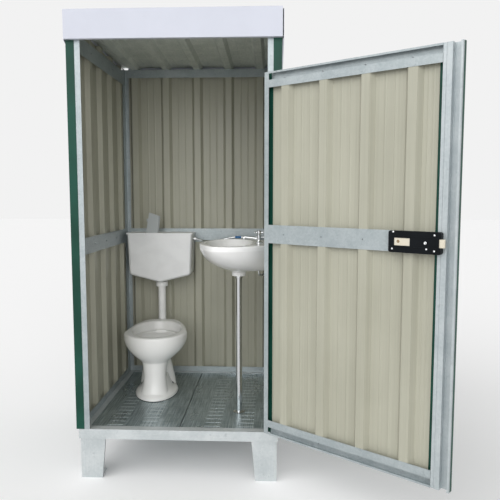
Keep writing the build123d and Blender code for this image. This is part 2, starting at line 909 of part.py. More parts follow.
horn = Pos(0, -horn_back, horn_level) * Rot(90, 0, 0) * Cylinder(
    pan_horn_radius, pan_horn_length, align=(Align.CENTER, Align.CENTER, Align.MIN)
)
toilet_pan = skin + rim_plate + housing + horn


def bowl_ring(drop, share, forward):
    """A level ring of the pan's hollow, some way below the rim."""
    ring = Ellipse(pan_bowl_half_width * share, pan_bowl_half_length * share)
    return Pos(0, -pan_bowl_middle - forward, pan_rim - drop) * ring


pan_hollow = loft(
    [
        bowl_ring(-1, 1.03, 0),
        bowl_ring(pan_rim_round, 0.985, 0),
        bowl_ring(pan_rim_depth, 1.0, 0),
        bowl_ring(pan_bowl_depth * 0.5, 0.88, 12),
        bowl_ring(pan_bowl_depth * 0.8, 0.6, 34),
        bowl_ring(pan_bowl_depth, 0.3, 48),
    ]
)
socket = Pos(0, -horn_back, horn_level) * Rot(90, 0, 0) * Cylinder(
    pipe_radius + fit_gap, pan_socket_depth, align=(Align.CENTER, Align.CENTER, Align.MIN)
)
toilet_pan -= pan_hollow
toilet_pan -= socket
for side in (-1, 1):
    toilet_pan -= Pos(side * pan_bolt_side, -pan_bolt_back, pan_foot) * Cylinder(
        pan_bolt_radius, 6 * pan_foot_thickness
    )
toilet_pan = Pos(pipe_x, pipe_y, 0) * Rot(0, 0, pan_turn) * toilet_pan

# Flush pipe: down from the cistern's nut and round a bend into the pan's horn

bend_reach = horn_back + pan_socket_depth - 2
pipe_line = Polyline(
    (0, 0, cistern_low_point - nut_height),
    (0, 0, horn_level),
    (0, -bend_reach, horn_level),
)
pipe_line = fillet(pipe_line.vertices().sort_by(Axis.Z)[:2].sort_by(Axis.Y)[-1:], pipe_bend)
flush_pipe = sweep(Plane.XY.offset(cistern_low_point - nut_height) * Circle(pipe_radius), path=pipe_line)
flush_pipe = Pos(pipe_x, pipe_y, 0) * Rot(0, 0, pan_turn) * flush_pipe
nut_place = Pos(pipe_x, pipe_y, cistern_low_point - nut_height / 2)
flush_pipe += nut_place * Cylinder(nut_radius, nut_height)

# Cistern: a thin tank with a shallow V under it and rounded edges, and a lid that laps over it

cistern_back = back_rail_inner
cistern_front = cistern_back - cistern_depth
tank_top = cistern_top - cistern_lid


def cistern_face(inset, top):
    """Front outline of the tank, set in by a wall."""
    top_half = cistern_top_width / 2 - cistern_lid_lap - inset
    foot_half = cistern_foot_width / 2 - inset
    points = [
        (-top_half, top),
        (top_half, top),
        (foot_half, cistern_side_foot + inset),
        (0, cistern_low_point + inset),
        (-foot_half, cistern_side_foot + inset),
    ]
    face = Polygon(*points, align=None)
    corners = face.vertices().sort_by(Axis.Y)[1:3]
    return fillet(corners, max(cistern_corner - inset, 1))


outer_plane = Plane.XZ.offset(-cistern_front)
inner_plane = Plane.XZ.offset(-(cistern_front + cistern_wall))
tank = extrude(outer_plane * cistern_face(0, tank_top), amount=cistern_depth, dir=(0, 1, 0))
front_edges = tank.faces().sort_by(Axis.Y)[0].edges().sort_by(Axis.Z)[:-1]
tank = fillet(front_edges, cistern_round)
tank_room = inner_plane * cistern_face(cistern_wall, tank_top + 1)
tank -= extrude(tank_room, amount=cistern_depth - 2 * cistern_wall, dir=(0, 1, 0))
cistern_tank = Pos(pipe_x, 0, 0) * tank
lid_half = cistern_top_width / 2
cistern_cover = block(
    pipe_x - lid_half,
    pipe_x + lid_half,
    cistern_front - cistern_lid_lap,
    cistern_back,
    tank_top,
    cistern_top,
)
cistern_cover = fillet(cistern_cover.edges().group_by(Axis.Z)[-1], cistern_lid / 3)

# Folded plate standing on the lid: its right edge is folded to the front and a lug stands off its left

plate_y = cistern_back - plate_from_back
plate_points = [(pipe_x + x, cistern_top + z) for x, z in plate_outline]
folded_plate = prism_back(plate_points, plate_y, plate_y + plate_gauge)
foot_right, top_right = plate_points[1], plate_points[2]
flange_points = [
    foot_right,
    (foot_right[0] + plate_flange, foot_right[1]),
    (top_right[0] + plate_flange, top_right[1] - plate_flange_slant),
    top_right,
]
flange_plate = extrude(
    Plane.XZ.offset(-plate_y) * Polygon(*flange_points, align=None), amount=plate_gauge, dir=(0, 1, 0)
)
fold_direction = (top_right[0] - foot_right[0], 0, top_right[1] - foot_right[1])
hinge_line = Axis((foot_right[0], plate_y + plate_gauge, foot_right[1]), fold_direction)
folded_plate += flange_plate.rotate(hinge_line, -plate_fold_angle)
lug_x = pipe_x + (plate_outline[0][0] + plate_outline[3][0]) / 2
folded_plate += block(
    lug_x - plate_lug_width,
    lug_x + plate_lug_width,
    plate_y,
    plate_y + plate_gauge,
    cistern_top + plate_lug_level,
    cistern_top + plate_lug_level + plate_lug_height,
)

# Basin: lofted levels of an oval that runs into the wall, with a belly round the waste collar

OVAL = (
    (0.0, 0.45),
    (0.18, 0.72),
    (0.43, 0.94),
    (0.58, 1.0),
    (0.67, 0.985),
    (0.797, 0.875),
    (0.9, 0.632),
    (0.976, 0.294),
)


def basin_outline(drop, reach_out, half_width_here):
    """Level outline of the basin: an oval cut off by the wall, some way below the rim."""
    side = [(basin_x - share * reach_out, width * half_width_here) for share, width in OVAL]
    level = basin_rim - drop
    run = side + [(basin_x - reach_out, 0)] + [(x, -y) for x, y in reversed(side)]
    curve = Spline(*[(x, basin_y + y, level) for x, y in run])
    wall_half = side[0][1]
    back = Line((basin_x, basin_y - wall_half, level), (basin_x, basin_y + wall_half, level))
    return make_face(curve + back)


# Levels under the rim: share of the side's height, then of the basin's reach and of its width
BASIN_LEVELS = (
    (0.0, 1.0, 1.0),
    (0.3, 0.965, 0.925),
    (0.65, 0.88, 0.77),
    (0.88, 0.78, 0.6),
    (1.0, 0.69, 0.46),
)


def basin_level(share, reach_share, width_share):
    """The basin's outline some way down its side, drawn in."""
    drop = basin_rim_depth + share * (basin_back_height - basin_rim_depth)
    return basin_outline(drop, basin_projection * reach_share, basin_half_width * width_share)


basin_rim_band = extrude(basin_level(0, 1, 1), amount=basin_rim_depth)
basin_rim_band = fillet(basin_rim_band.edges().group_by(Axis.Z)[-1].sort_by(Axis.X)[:1], basin_rim_round)
basin_body = loft([basin_level(*shares) for shares in BASIN_LEVELS])
belly = loft(
    [
        Pos(waste_x, basin_y, basin_rim - basin_back_height + 4) * Ellipse(
            basin_belly_half_width * 0.8, basin_belly_half_width
        ),
        Pos(waste_x, basin_y, basin_rim - basin_back_height - basin_belly * 0.6) * Ellipse(
            basin_belly_half_width * 0.55, basin_belly_half_width * 0.6
        ),
        Pos(waste_x, basin_y, basin_rim - basin_back_height - basin_belly) * Circle(waste_collar_radius),
    ]
)
collar_low = basin_rim - waste_collar_drop
collar_height = waste_collar_drop - basin_back_height
collar = Pos(waste_x, basin_y, collar_low + collar_height / 2) * Cylinder(waste_collar_radius, collar_height)
basin = basin_rim_band + basin_body + belly + collar


def basin_ring(drop, length_share, width_share, back):
    """A level ring of the basin's hollow."""
    middle = basin_x - basin_bowl_from_wall + back
    ring = Ellipse(basin_bowl_half_length * length_share, basin_bowl_half_width * width_share)
    return Pos(middle, basin_y, basin_rim - drop) * ring


drain_shift = basin_bowl_from_wall - waste_from_wall
basin -= loft(
    [
        basin_ring(-1, 1.03, 1.015, 0),
        basin_ring(basin_rim_round, 0.975, 0.98, 0),
        basin_ring(basin_bowl_depth * 0.5, 0.85, 0.8, drain_shift * 0.2),
        basin_ring(basin_bowl_depth * 0.85, 0.58, 0.5, drain_shift * 0.6),
        basin_ring(basin_bowl_depth, 0.24, 0.13, drain_shift),
    ]
)
drain_low = collar_low - 1
drain_height = basin_rim - basin_bowl_depth + 4 - drain_low
basin -= Pos(waste_x, basin_y, drain_low + drain_height / 2) * Cylinder(
    waste_radius + fit_gap, drain_height
)
tap_hole_low = basin_rim - basin_back_height - 1
basin -= Pos(tap_x, basin_y, (tap_hole_low + basin_rim + 1) / 2) * Cylinder(
    tap_tail_radius + fit_gap, basin_rim + 1 - tap_hole_low
)

# Waste pipe: from its rose on the floor up into the collar

waste_top = collar_low + collar_height * 0.6
waste_foot = floor_level + emboss_height
waste_place = Pos(waste_x, basin_y, (waste_foot + waste_top) / 2)
waste_pipe = waste_place * Cylinder(waste_radius, waste_top - waste_foot)
waste_pipe += Pos(waste_x, basin_y, waste_foot + rose_height / 2) * Cone(
    rose_radius, waste_radius + 3, rose_height
)
waste_pipe += Pos(waste_x, basin_y, collar_low - waste_nut_height / 2) * Cylinder(
    waste_radius + 5, waste_nut_height
)

# Tap: a turned body with a bent spout over the bowl, a tail through the basin, and a cross handle

stem_top = basin_rim + tap_stem_height
tap_profile = [
    (0, 0),
    (tap_base_radius, 0),
    (tap_base_radius, tap_base_height * 0.6),
    (tap_stem_radius + 2, tap_base_height * 1.4),
    (tap_stem_radius, tap_base_height * 2.4),
    (tap_stem_radius, tap_stem_height - 5),
    (tap_stem_radius - 3, tap_stem_height),
    (0, tap_stem_height),
]
tap_axis = Pos(tap_x, basin_y, basin_rim)
tap_body = tap_axis * revolve(Plane.XZ * Polygon(*tap_profile, align=None), Axis.Z)
tap_tail_length = basin_back_height + tap_tail_below
tap_body += tap_axis * Pos(0, 0, -tap_tail_length / 2) * Cylinder(tap_tail_radius, tap_tail_length)
tap_body += Pos(tap_x, basin_y, stem_top + spindle_height / 2) * Cylinder(spindle_radius, spindle_height)
spout_points = [
    (tap_x, basin_y, basin_rim + spout_level - spout_rise),
    (tap_x - spout_length * 0.3, basin_y, basin_rim + spout_level),
    (tap_x - spout_length + 4, basin_y, basin_rim + spout_level + spout_rise),
    (tap_x - spout_length, basin_y, basin_rim + spout_level - spout_nose * 0.6),
]
spout_line = FilletPolyline(*spout_points, radius=spout_radius + 1.5)
tap_body += sweep(Plane(origin=spout_line @ 0, z_dir=spout_line % 0) * Circle(spout_radius), path=spout_line)
hub_low = stem_top + running_gap
tap_handle = Pos(tap_x, basin_y, hub_low + tap_hub_height / 2) * Cylinder(tap_hub_radius, tap_hub_height)
tap_handle = fillet(tap_handle.edges().group_by(Axis.Z)[-1], 4)
arm_profile = [
    (0, 0),
    (tap_lever_radius, 0),
    (tap_lever_radius, tap_lever_reach - 6),
    (tap_lever_radius + 1, tap_lever_reach),
    (tap_lever_radius - 1, tap_lever_reach + 4),
    (0, tap_lever_reach + 4),
]
arm = revolve(Plane.XZ * Polygon(*arm_profile, align=None), Axis.Z)
for turn_angle in (0, 90, 180, 270):
    arm_place = Pos(tap_x, basin_y, hub_low + tap_hub_height * 0.45) * Rot(0, 0, turn_angle)
    tap_handle += arm_place * Rot(0, 90, 0) * arm
tap_handle -= Pos(tap_x, basin_y, stem_top) * Cylinder(
    spindle_radius + pin_clearance, 2 * (spindle_height + running_gap)
)

# Supply pipe: from the cistern's side behind the basin, down the corner and up to the tap's tail

supply_y = cistern_back - cistern_depth * 0.55
side_slope = (cistern_top_width - cistern_foot_width) / 2 / (tank_top - cistern_side_foot)
side_lean = (tank_top - supply_level - supply_nut_radius) * side_slope
cistern_side = pipe_x + lid_half - cistern_lid_lap - side_lean
cistern_side += fit_gap
rear_y = back_rail_inner - supply_from_wall
corner_x = rail_inner - supply_from_wall
under_level = basin_rim - supply_under_drop
tail_level = basin_rim - tap_tail_length - fit_gap
supply_points = [
    (cistern_side + supply_nut_length / 2, supply_y, supply_level),
    (cistern_side + supply_knots[0], (3 * supply_y + rear_y) / 4, supply_level - supply_sag * 0.7),
    (cistern_side + supply_knots[1], (supply_y + 3 * rear_y) / 4, supply_level - supply_sag),
    (cistern_side + supply_knots[2], rear_y, supply_rear_level),
    (corner_x, rear_y, supply_rear_level),
    (corner_x, basin_y + supply_side_knots[0], supply_rear_level - supply_side_fall),
    (corner_x, basin_y + supply_side_knots[1], under_level),
    (tap_x, basin_y, under_level),
    (tap_x, basin_y, tail_level),
]
supply_line = FilletPolyline(*supply_points, radius=supply_bend)
supply_start = Plane(origin=supply_line @ 0, z_dir=supply_line % 0)
supply_pipe = sweep(supply_start * Circle(supply_radius), path=supply_line)
supply_nut = Pos(cistern_side + supply_nut_length / 2, supply_y, supply_level) * Rot(0, 90, 0)
supply_hexagon = RegularPolygon(supply_nut_radius, 6)
supply_pipe += supply_nut * extrude(supply_hexagon, amount=supply_nut_length / 2, both=True)

parts = {
    "base_front": base_front,
    "base_rear": base_rear,
    "base_left": base_left,
    "base_right": base_right,
    "leg_front_left": leg_front_left,
    "leg_front_right": leg_front_right,
    "leg_rear_left": leg_rear_left,
    "leg_rear_right": leg_rear_right,
    "floor_plank_left": floor_plank_left,
    "floor_plank_right": floor_plank_right,
    "post_front_left": post_front_left,
    "post_front_right": post_front_right,
    "post_rear_left": post_rear_left,
    "post_rear_right": post_rear_right,
    "mid_rail_left": mid_rail_left,
    "mid_rail_right": mid_rail_right,
    "mid_rail_back": mid_rail_back,
    "foot_rail_left": foot_rail_left,
    "foot_rail_right": foot_rail_right,
    "foot_rail_back": foot_rail_back,
    "top_rail_left": top_rail_left,
    "top_rail_right": top_rail_right,
    "top_rail_back": top_rail_back,
    "top_rail_front": top_rail_front,
    "left_wall_sheet": left_wall_sheet,
    "right_wall_sheet": right_wall_sheet,
    "back_wall_sheet": back_wall_sheet,
    "front_trim_left": front_trim_left,
    "front_trim_right": front_trim_right,
    "rear_trim_left": rear_trim_left,
    "rear_trim_right": rear_trim_right,
    "roof_sheet": roof_sheet,
    "roof_trim_left": roof_trim_left,
    "roof_trim_right": roof_trim_right,
    "roof_trim_rear": roof_trim_rear,
    "front_fascia": front_fascia,
    "toilet_pan": toilet_pan,
    "flush_pipe": flush_pipe,
    "cistern_tank": cistern_tank,
    "cistern_cover": cistern_cover,
    "folded_plate": folded_plate,
    "supply_pipe": supply_pipe,
    "basin": basin,
    "waste_pipe": waste_pipe,
    "tap_body": tap_body,
    "tap_handle": tap_handle,
    "post_hinges": post_hinges,
    "door_hinges": swung(door_hinges),
    "door_hinge_stile": swung(door_hinge_stile),
    "door_lock_stile": swung(door_lock_stile),
    "door_top_rail": swung(door_top_rail),
    "door_bottom_rail": swung(door_bottom_rail),
    "door_mid_rail": swung(door_mid_rail),
    "door_sheet": swung(door_sheet),
    "door_trim_hinge": swung(door_trim_hinge),
    "door_trim_lock": swung(door_trim_lock),
    "latch_case": swung(latch_case),
    "latch_bolt": swung(latch_bolt),
}

os.makedirs("parts", exist_ok=True)
for name, shape in parts.items():
    export_step(shape, f"parts/{name}.step")
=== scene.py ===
"""Looks of a portable toilet cabin: galvanised frame, coated sheets, china fittings, chrome and plastics."""

import bpy
import numpy as np
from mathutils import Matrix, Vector


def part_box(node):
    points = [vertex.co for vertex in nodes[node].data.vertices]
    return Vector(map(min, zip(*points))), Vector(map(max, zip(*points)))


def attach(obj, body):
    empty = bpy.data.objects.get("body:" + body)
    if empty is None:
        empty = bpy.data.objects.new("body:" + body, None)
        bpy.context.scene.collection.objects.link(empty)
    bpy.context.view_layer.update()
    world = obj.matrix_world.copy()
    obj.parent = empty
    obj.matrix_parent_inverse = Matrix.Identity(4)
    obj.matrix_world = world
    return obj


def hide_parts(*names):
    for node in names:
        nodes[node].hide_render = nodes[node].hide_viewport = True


bl_info = {
    "name": "Portable toilet cabin",
    "version": (1, 0, 0),
    "blender": (4, 5, 0),
    "location": "View3D > Sidebar > Cabin",
    "description": "Dresses the packed solids of a portable toilet cabin",
    "category": "Object",
}

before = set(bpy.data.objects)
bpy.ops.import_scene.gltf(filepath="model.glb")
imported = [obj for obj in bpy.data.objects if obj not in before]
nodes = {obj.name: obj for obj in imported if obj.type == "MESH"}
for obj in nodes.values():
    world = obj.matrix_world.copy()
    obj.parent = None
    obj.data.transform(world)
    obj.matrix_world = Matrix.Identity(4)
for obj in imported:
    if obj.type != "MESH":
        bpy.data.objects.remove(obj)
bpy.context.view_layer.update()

# Numbers of the Mix node's factor and of its two colours, which share their names with other inputs
FACTOR, FIRST, SECOND = 0, 6, 7


def linear(code):
    """An sRGB hex code as linear red, green and blue."""
    channels = [int(code[i:i + 2], 16) / 255 for i in (0, 2, 4)]
    return tuple(c / 12.92 if c <= 0.04045 else ((c + 0.055) / 1.055) ** 2.4 for c in channels)


def add(tree, kind, inputs=None, **settings):
    """Adds one shader node with its settings and inputs.

    An input is a constant, a socket that it is linked to, or a node, whose first output in use is linked."""
    item = tree.nodes.new(kind)
    for key, value in settings.items():
        setattr(item, key, value)
    for key, value in (inputs or {}).items():
        socket = item.inputs[key]
        if isinstance(value, bpy.types.Node):
            value = next(output for output in value.outputs if output.enabled)
        if isinstance(value, bpy.types.NodeSocket):
            tree.links.new(value, socket)
        else:
            socket.default_value = (*value[:3], 1.0) if socket.type == "RGBA" else value
    return item


def new_material(name):
    """An empty material and its nodes, and the coordinates that its patterns read."""
    material = bpy.data.materials.new(name)
    material.use_nodes = True
    tree = material.node_tree
    tree.nodes.clear()
    return material, tree, add(tree, "ShaderNodeTexCoord").outputs["Object"]


def cover(tree, looks, relief=None, depth=0.0):
    """The finished surface: its looks, and relief that follows a pattern and is depth metres deep."""
    if relief is not None:
        looks["Normal"] = add(tree, "ShaderNodeBump", {"Height": relief, "Distance": depth})
    shader = add(tree, "ShaderNodeBsdfPrincipled", looks)
    add(tree, "ShaderNodeOutputMaterial", {"Surface": shader})


def clouds(tree, place, size, detail=3.0, stretch=(1, 1, 1), roughness=0.5):
    """Blotches about size metres wide, drawn out along the axes whose stretch is above one."""
    moved = add(tree, "ShaderNodeMapping", {"Vector": place, "Scale": tuple(1 / (size * s) for s in stretch)})
    looks = {"Vector": moved, "Scale": 1.0, "Detail": detail, "Roughness": roughness}
    return add(tree, "ShaderNodeTexNoise", looks)


def weighted_sum(tree, *terms):
    """Sum of patterns, each given with the share that it is multiplied by."""
    products = [add(tree, "ShaderNodeMath", dict(enumerate(term)), operation="MULTIPLY") for term in terms]
    total = products[0]
    for product in products[1:]:
        total = add(tree, "ShaderNodeMath", {0: total, 1: product}, operation="ADD")
    return total


def tinted(tree, pattern, low, high, first, second, share=1.0):
    """The first colour, going softly over to a share of the second as the pattern rises from low to high."""
    values = {"Value": pattern, "From Min": low, "From Max": high, "To Max": share}
    factor = add(tree, "ShaderNodeMapRange", values, interpolation_type="SMOOTHSTEP")
    return add(tree, "ShaderNodeMix", {FACTOR: factor, FIRST: first, SECOND: second}, data_type="RGBA")


def two_tone(tree, pattern, dark, light, smooth, rough):
    """Colour and roughness that both follow one pattern, dark and smooth where it is low."""
    values = {"Value": pattern, "From Min": 0.3, "From Max": 0.7, "To Min": smooth, "To Max": rough}
    gloss = add(tree, "ShaderNodeMapRange", values, interpolation_type="SMOOTHSTEP")
    return {"Base Color": tinted(tree, pattern, 0.3, 0.7, dark, light), "Roughness": gloss}


def galvanised_steel(name, dark, light, mark, run, smoothest=0.3):
    """Hot-dip galvanised steel: pale dull zinc, clouds and handling marks over faint crystals and streaks.

    The streaks run along the axis named by run, and smoothest is the least roughness."""
    material, tree, place = new_material(name)
    # crystals of about 9 mm, each a slightly different grey
    cells = add(tree, "ShaderNodeTexVoronoi", {"Vector": place, "Scale": 105.0, "Randomness": 1.0})
    crystal = add(tree, "ShaderNodeSeparateColor", {"Color": cells.outputs["Color"]})
    # rolling streaks about 3 mm wide and some 40 times as long
    stretch = [1.0, 1.0, 1.0]
    stretch["XYZ".index(run)] = 40.0
    streak = clouds(tree, place, 0.0035, 2.0, stretch)
    cloud = clouds(tree, place, 0.09, 5.0)
    shade = weighted_sum(tree, (crystal, 0.12), (streak, 0.3), (cloud, 0.58))
    # handling marks: small dull smears, sparse
    marks = clouds(tree, place, 0.028, 4.0, roughness=0.65)
    tone = tinted(tree, marks, 0.6, 0.74, tinted(tree, shade, 0.3, 0.7, dark, light), mark, 0.5)
    dullest = smoothest + 0.12
    values = {"Value": marks, "From Min": 0.6, "From Max": 0.74, "To Min": smoothest, "To Max": dullest}
    smear = add(tree, "ShaderNodeMapRange", values, interpolation_type="SMOOTHSTEP")
    rough = weighted_sum(tree, (cloud, 0.2), (smear, 1.0))
    looks = {"Metallic": 0.35, "Base Color": tone, "Roughness": rough}
    cover(tree, looks, weighted_sum(tree, (crystal, 1.0), (streak, 1.0)), 0.00006)
    return material


def floor_plate(name, colours):
    """Embossed galvanised plate: blue-grey zinc scuffed both ways, bright on the bosses' tops, which are worn
    and carry a painted highlight.
    """
    material, tree, place = new_material(name)
    film = clouds(tree, place, 0.14, 5.0, (1, 2.2, 1), 0.6)
    scratch = clouds(tree, place, 0.004, 2.0, (1, 40, 1))
    across = clouds(tree, place, 0.005, 2.0, (14, 1, 1))
    fine = weighted_sum(tree, (scratch, 0.75), (across, 0.25))
    metal = tinted(tree, fine, 0.36, 0.66, colours.floor_dark, colours.floor_light)
    tone = tinted(tree, film, 0.5, 0.75, metal, colours.floor_film, 0.7)
    # the bosses stand 1.6 mm above the plank, and their tops are lighter: partly polished by wear, partly a
    # painted highlight
    level = add(tree, "ShaderNodeSeparateXYZ", {"Vector": place}).outputs["Z"]
    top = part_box("floor_plank_left")[1][2]
    tone = tinted(tree, level, top - 0.0011, top - 0.0002, tone, colours.floor_worn_and_highlight, 0.5)
    values = {"Value": film, "From Min": 0.3, "From Max": 0.75, "To Min": 0.24, "To Max": 0.5}
    gloss = add(tree, "ShaderNodeMapRange", values, interpolation_type="SMOOTHSTEP")
    cover(tree, {"Metallic": 0.62, "Base Color": tone, "Roughness": gloss}, fine, 0.00012)
    return material


def coated_sheet(name, outward, colours):
    """Roll-formed coil-coated sheet: beige backing coat inside, green outside, faint roll lines and dust."""
    material, tree, place = new_material(name)
    normal = add(tree, "ShaderNodeTexCoord").outputs["Normal"]
    toward = add(tree, "ShaderNodeVectorMath", {0: normal, 1: outward}, operation="DOT_PRODUCT")
    side = add(tree, "ShaderNodeMath", {0: toward, 1: 0.02}, operation="GREATER_THAN")
    # fine upright roll lines 4 mm apart and soft clouds of dust
    roll = clouds(tree, place, 0.004, 2.0, (1, 1, 200))
    dust = clouds(tree, place, 0.22, 4.0, (1, 1, 1.6))
    shade = weighted_sum(tree, (roll, 0.45), (dust, 0.55))
    looks = two_tone(tree, shade, colours.beige_dark, colours.beige_light, 0.36, 0.5)
    outside = tinted(tree, shade, 0.3, 0.7, colours.green_dark, colours.green_light)
    coats = {FACTOR: side, FIRST: looks["Base Color"], SECOND: outside}
    looks["Base Color"] = add(tree, "ShaderNodeMix", coats, data_type="RGBA")
    cover(tree, looks, roll, 0.00008)
    return material


def sheet_paint(name, dark, light, rough):
    """Baked paint on folded steel: even colour with slight clouding and orange peel of about 2 mm."""
    material, tree, place = new_material(name)
    looks = two_tone(tree, clouds(tree, place, 0.15, 4.0), dark, light, rough, rough + 0.1)
    cover(tree, {**looks, "Specular IOR Level": 0.22}, clouds(tree, place, 0.002, 2.0), 0.00006)
    return material


def vitreous_china(name, colours):
    """Vitreous china: white clay under a clear wet-looking glaze, with hardly any colour change."""
    material, tree, place = new_material(name)
    looks = two_tone(tree, clouds(tree, place, 0.09), colours.china_dark, colours.china_light, 0.12, 0.2)
    glaze = {"IOR": 1.52, "Coat Weight": 0.5, "Coat Roughness": 0.05}
    cover(tree, {**looks, **glaze}, clouds(tree, place, 0.02, 2.0), 0.0002)
    return material


def moulded_plastic(name, dark, light, rough, grain):
    """Injection-moulded plastic: soft sheen broken by a fine spark-eroded grain."""
    material, tree, place = new_material(name)
    looks = two_tone(tree, clouds(tree, place, 0.08), dark, light, rough, rough + 0.08)
    cover(tree, {**looks, "IOR": 1.49}, clouds(tree, place, grain, 1.0), grain * 0.06)
    return material


def bright_metal(name, colour, rough):
    """Chrome-plated or polished steel: mirror gloss with the faintest drawn lines, 2 mm wide and upright."""
    material, tree, place = new_material(name)
    dull = tuple(c * 0.86 for c in colour[:3])
    looks = two_tone(tree, clouds(tree, place, 0.002, 2.0, (1, 1, 40)), dull, colour, rough, rough + 0.08)
    cover(tree, {**looks, "Metallic": 1.0})
    return material


def tube_faces(rings, sides, start, looped):
    """Quads between the rings of a tube, whose ends meet or are each closed by a flat face."""
    i = np.arange(rings if looped else rings - 1)[:, None]
    j = np.arange(sides)[None, :]
    above, right = (i + 1) % rings * sides, (j + 1) % sides
    quads = np.stack([i * sides + j, i * sides + right, above + right, above + j], axis=-1)
    faces = (quads.reshape(-1, 4) + start).tolist()
    if not looped:
        first = np.arange(sides) + start
        faces += [first[::-1].tolist(), (first + (rings - 1) * sides).tolist()]
    return faces


def tube_mesh(name, tubes, looped=False):
    """One piece from tubes, each an array of rings by sides by three."""
    faces, start = [], 0
    for tube in tubes:
        faces += tube_faces(*tube.shape[:2], start, looped)
        start += tube.shape[0] * tube.shape[1]
    return mesh_from(name, np.vstack([tube.reshape(-1, 3) for tube in tubes]), faces)


def mesh_from(name, points, faces):
    """A mesh object from an array of points and a list of faces: quads are smooth, end faces flat."""
    mesh = bpy.data.meshes.new(name)
    mesh.from_pydata(points.tolist(), [], faces)
    mesh.validate()
    sides = np.empty(len(mesh.polygons), dtype=np.int32)
    mesh.polygons.foreach_get("loop_total", sides)
    mesh.polygons.foreach_set("use_smooth", sides == 4)
    piece = bpy.data.objects.new(name, mesh)
    bpy.context.scene.collection.objects.link(piece)
    return piece


def turned_studs(name, places, normals, profile, sides=16):
    """Copies of one turned head: a profile of (radius, height) pairs swept round each place's normal.

    The point at angle a on ring (r, h) is the place, plus r cos a and r sin a along two directions
    square to the normal, plus h along the normal; a flat face closes the first and the last ring."""
    places = np.asarray(places, float)
    normals = np.asarray(normals, float)
    normals = normals / np.linalg.norm(normals, axis=1, keepdims=True)
    helper = np.where(np.abs(normals[:, 2:3]) > 0.9, [[1.0, 0, 0]], [[0, 0, 1.0]])
    first = np.cross(helper, normals)
    first /= np.linalg.norm(first, axis=1, keepdims=True)
    second = np.cross(normals, first)
    angle = np.linspace(0, 2 * np.pi, sides, endpoint=False)
    radius, height = np.asarray(profile, float).T[:, :, None, None]
    ring = np.cos(angle)[:, None] * first[:, None, None] + np.sin(angle)[:, None] * second[:, None, None]
    points = places[:, None, None] + radius * ring + height * normals[:, None, None]
    return tube_mesh(name, points)


def smooth_rows(table, steps=6):
    """Rows of a table with steps between each two, on the cubic curve that passes through every row.

    At each row the curve runs in the direction from the row before to the row after, half as far per step,
    and past both ends the table goes on straight."""
    rows = np.asarray(table, float)
    padded = np.vstack([2 * rows[0] - rows[1], rows, 2 * rows[-1] - rows[-2]])
    before, here, after, later = padded[:-3], padded[1:-2], padded[2:-1], padded[3:]
    u = np.linspace(0, 1, steps, endpoint=False)[None, :, None]
    before, here, after, later = (part[:, None, :] for part in (before, here, after, later))
    curve = here + u / 2 * (after - before)
    curve = curve + u ** 2 * (before - 2.5 * here + 2 * after - later / 2)
    curve = curve + u ** 3 / 2 * (later - 3 * after + 3 * here - before)
    return np.vstack([curve.reshape(-1, rows.shape[1]), rows[-1:]])


def pan_rings(rows, sides=96, corner=4.0):
    """Level outlines of the pan. Each row: height, half width, front, back, half back, roundness, rise.

    The widest line lies roundness half widths behind the front. In front of it an outline is half an ellipse.
    Behind it, it is half a superellipse, whose power is corner, drawn in towards the back's half width.
    The height grows by rise from the front to the flush pipe's axis."""
    height, half, front, back, half_back, roundness, rise = (column[:, None] for column in np.asarray(rows).T)
    turn = -np.linspace(0, 2 * np.pi, sides, endpoint=False)[None, :]
    along, out = np.sin(turn), np.cos(turn)
    widest = front - roundness * half
    tight = 2 / corner
    behind = np.abs(np.minimum(along, 0)) ** tight
    reach = np.where(along >= 0, widest + (front - widest) * along, widest - (widest - back) * behind)
    drawn_in = 1 - (1 - half_back / half) * np.clip((widest - reach) / (widest - back), 0, 1) ** 1.5
    side = np.where(along >= 0, half * out, half * np.sign(out) * np.abs(out) ** tight * drawn_in)
    level = height + rise * (front - reach) / front
    return np.stack([side, -reach, level], axis=-1)


def pan_place(points):
    """Millimetres in the pan's own frame, whose origin is the flush pipe's axis, as metres in the cabin."""
    low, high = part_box("flush_pipe")
    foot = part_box("toilet_pan")[0][2]
    middle = np.array([(low[0] + high[0]) / 2, high[1] - (high[0] - low[0]) / 2, foot])
    turn = np.radians(PAN_TURN)
    around = np.array([[np.cos(turn), -np.sin(turn), 0], [np.sin(turn), np.cos(turn), 0], [0, 0, 1]])
    return points / 1000 @ around.T + middle


def seen_rays(tree):
    """One for rays that see the backdrop, straight, mirrored or through glass, and nought for the others."""
    path = add(tree, "ShaderNodeLightPath").outputs
    direct = {0: path["Is Camera Ray"], 1: path["Is Glossy Ray"]}
    seen = add(tree, "ShaderNodeMath", direct, operation="MAXIMUM")
    return add(tree, "ShaderNodeMath", {0: seen, 1: path["Is Transmission Ray"]}, operation="MAXIMUM")


def dress(names, material):
    """Gives CAD nodes one material."""
    for name in names:
        data = nodes[name].data
        data.materials.clear()
        data.materials.append(material)


def finish_piece(piece, material, body):
    """Gives a new piece its material and its body."""
    piece.data.materials.append(material)
    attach(piece, body)


def colour_property(name, description, code):
    """A colour that the sidebar shows, from an sRGB hex code."""
    return bpy.props.FloatVectorProperty(
        name=name, description=description, subtype="COLOR", size=3, min=0.0, max=1.0, default=linear(code)
    )


def length_property(name, description, metres):
    """A length that the sidebar shows."""
    return bpy.props.FloatProperty(name=name, description=description, unit="LENGTH", default=metres, min=0.0)


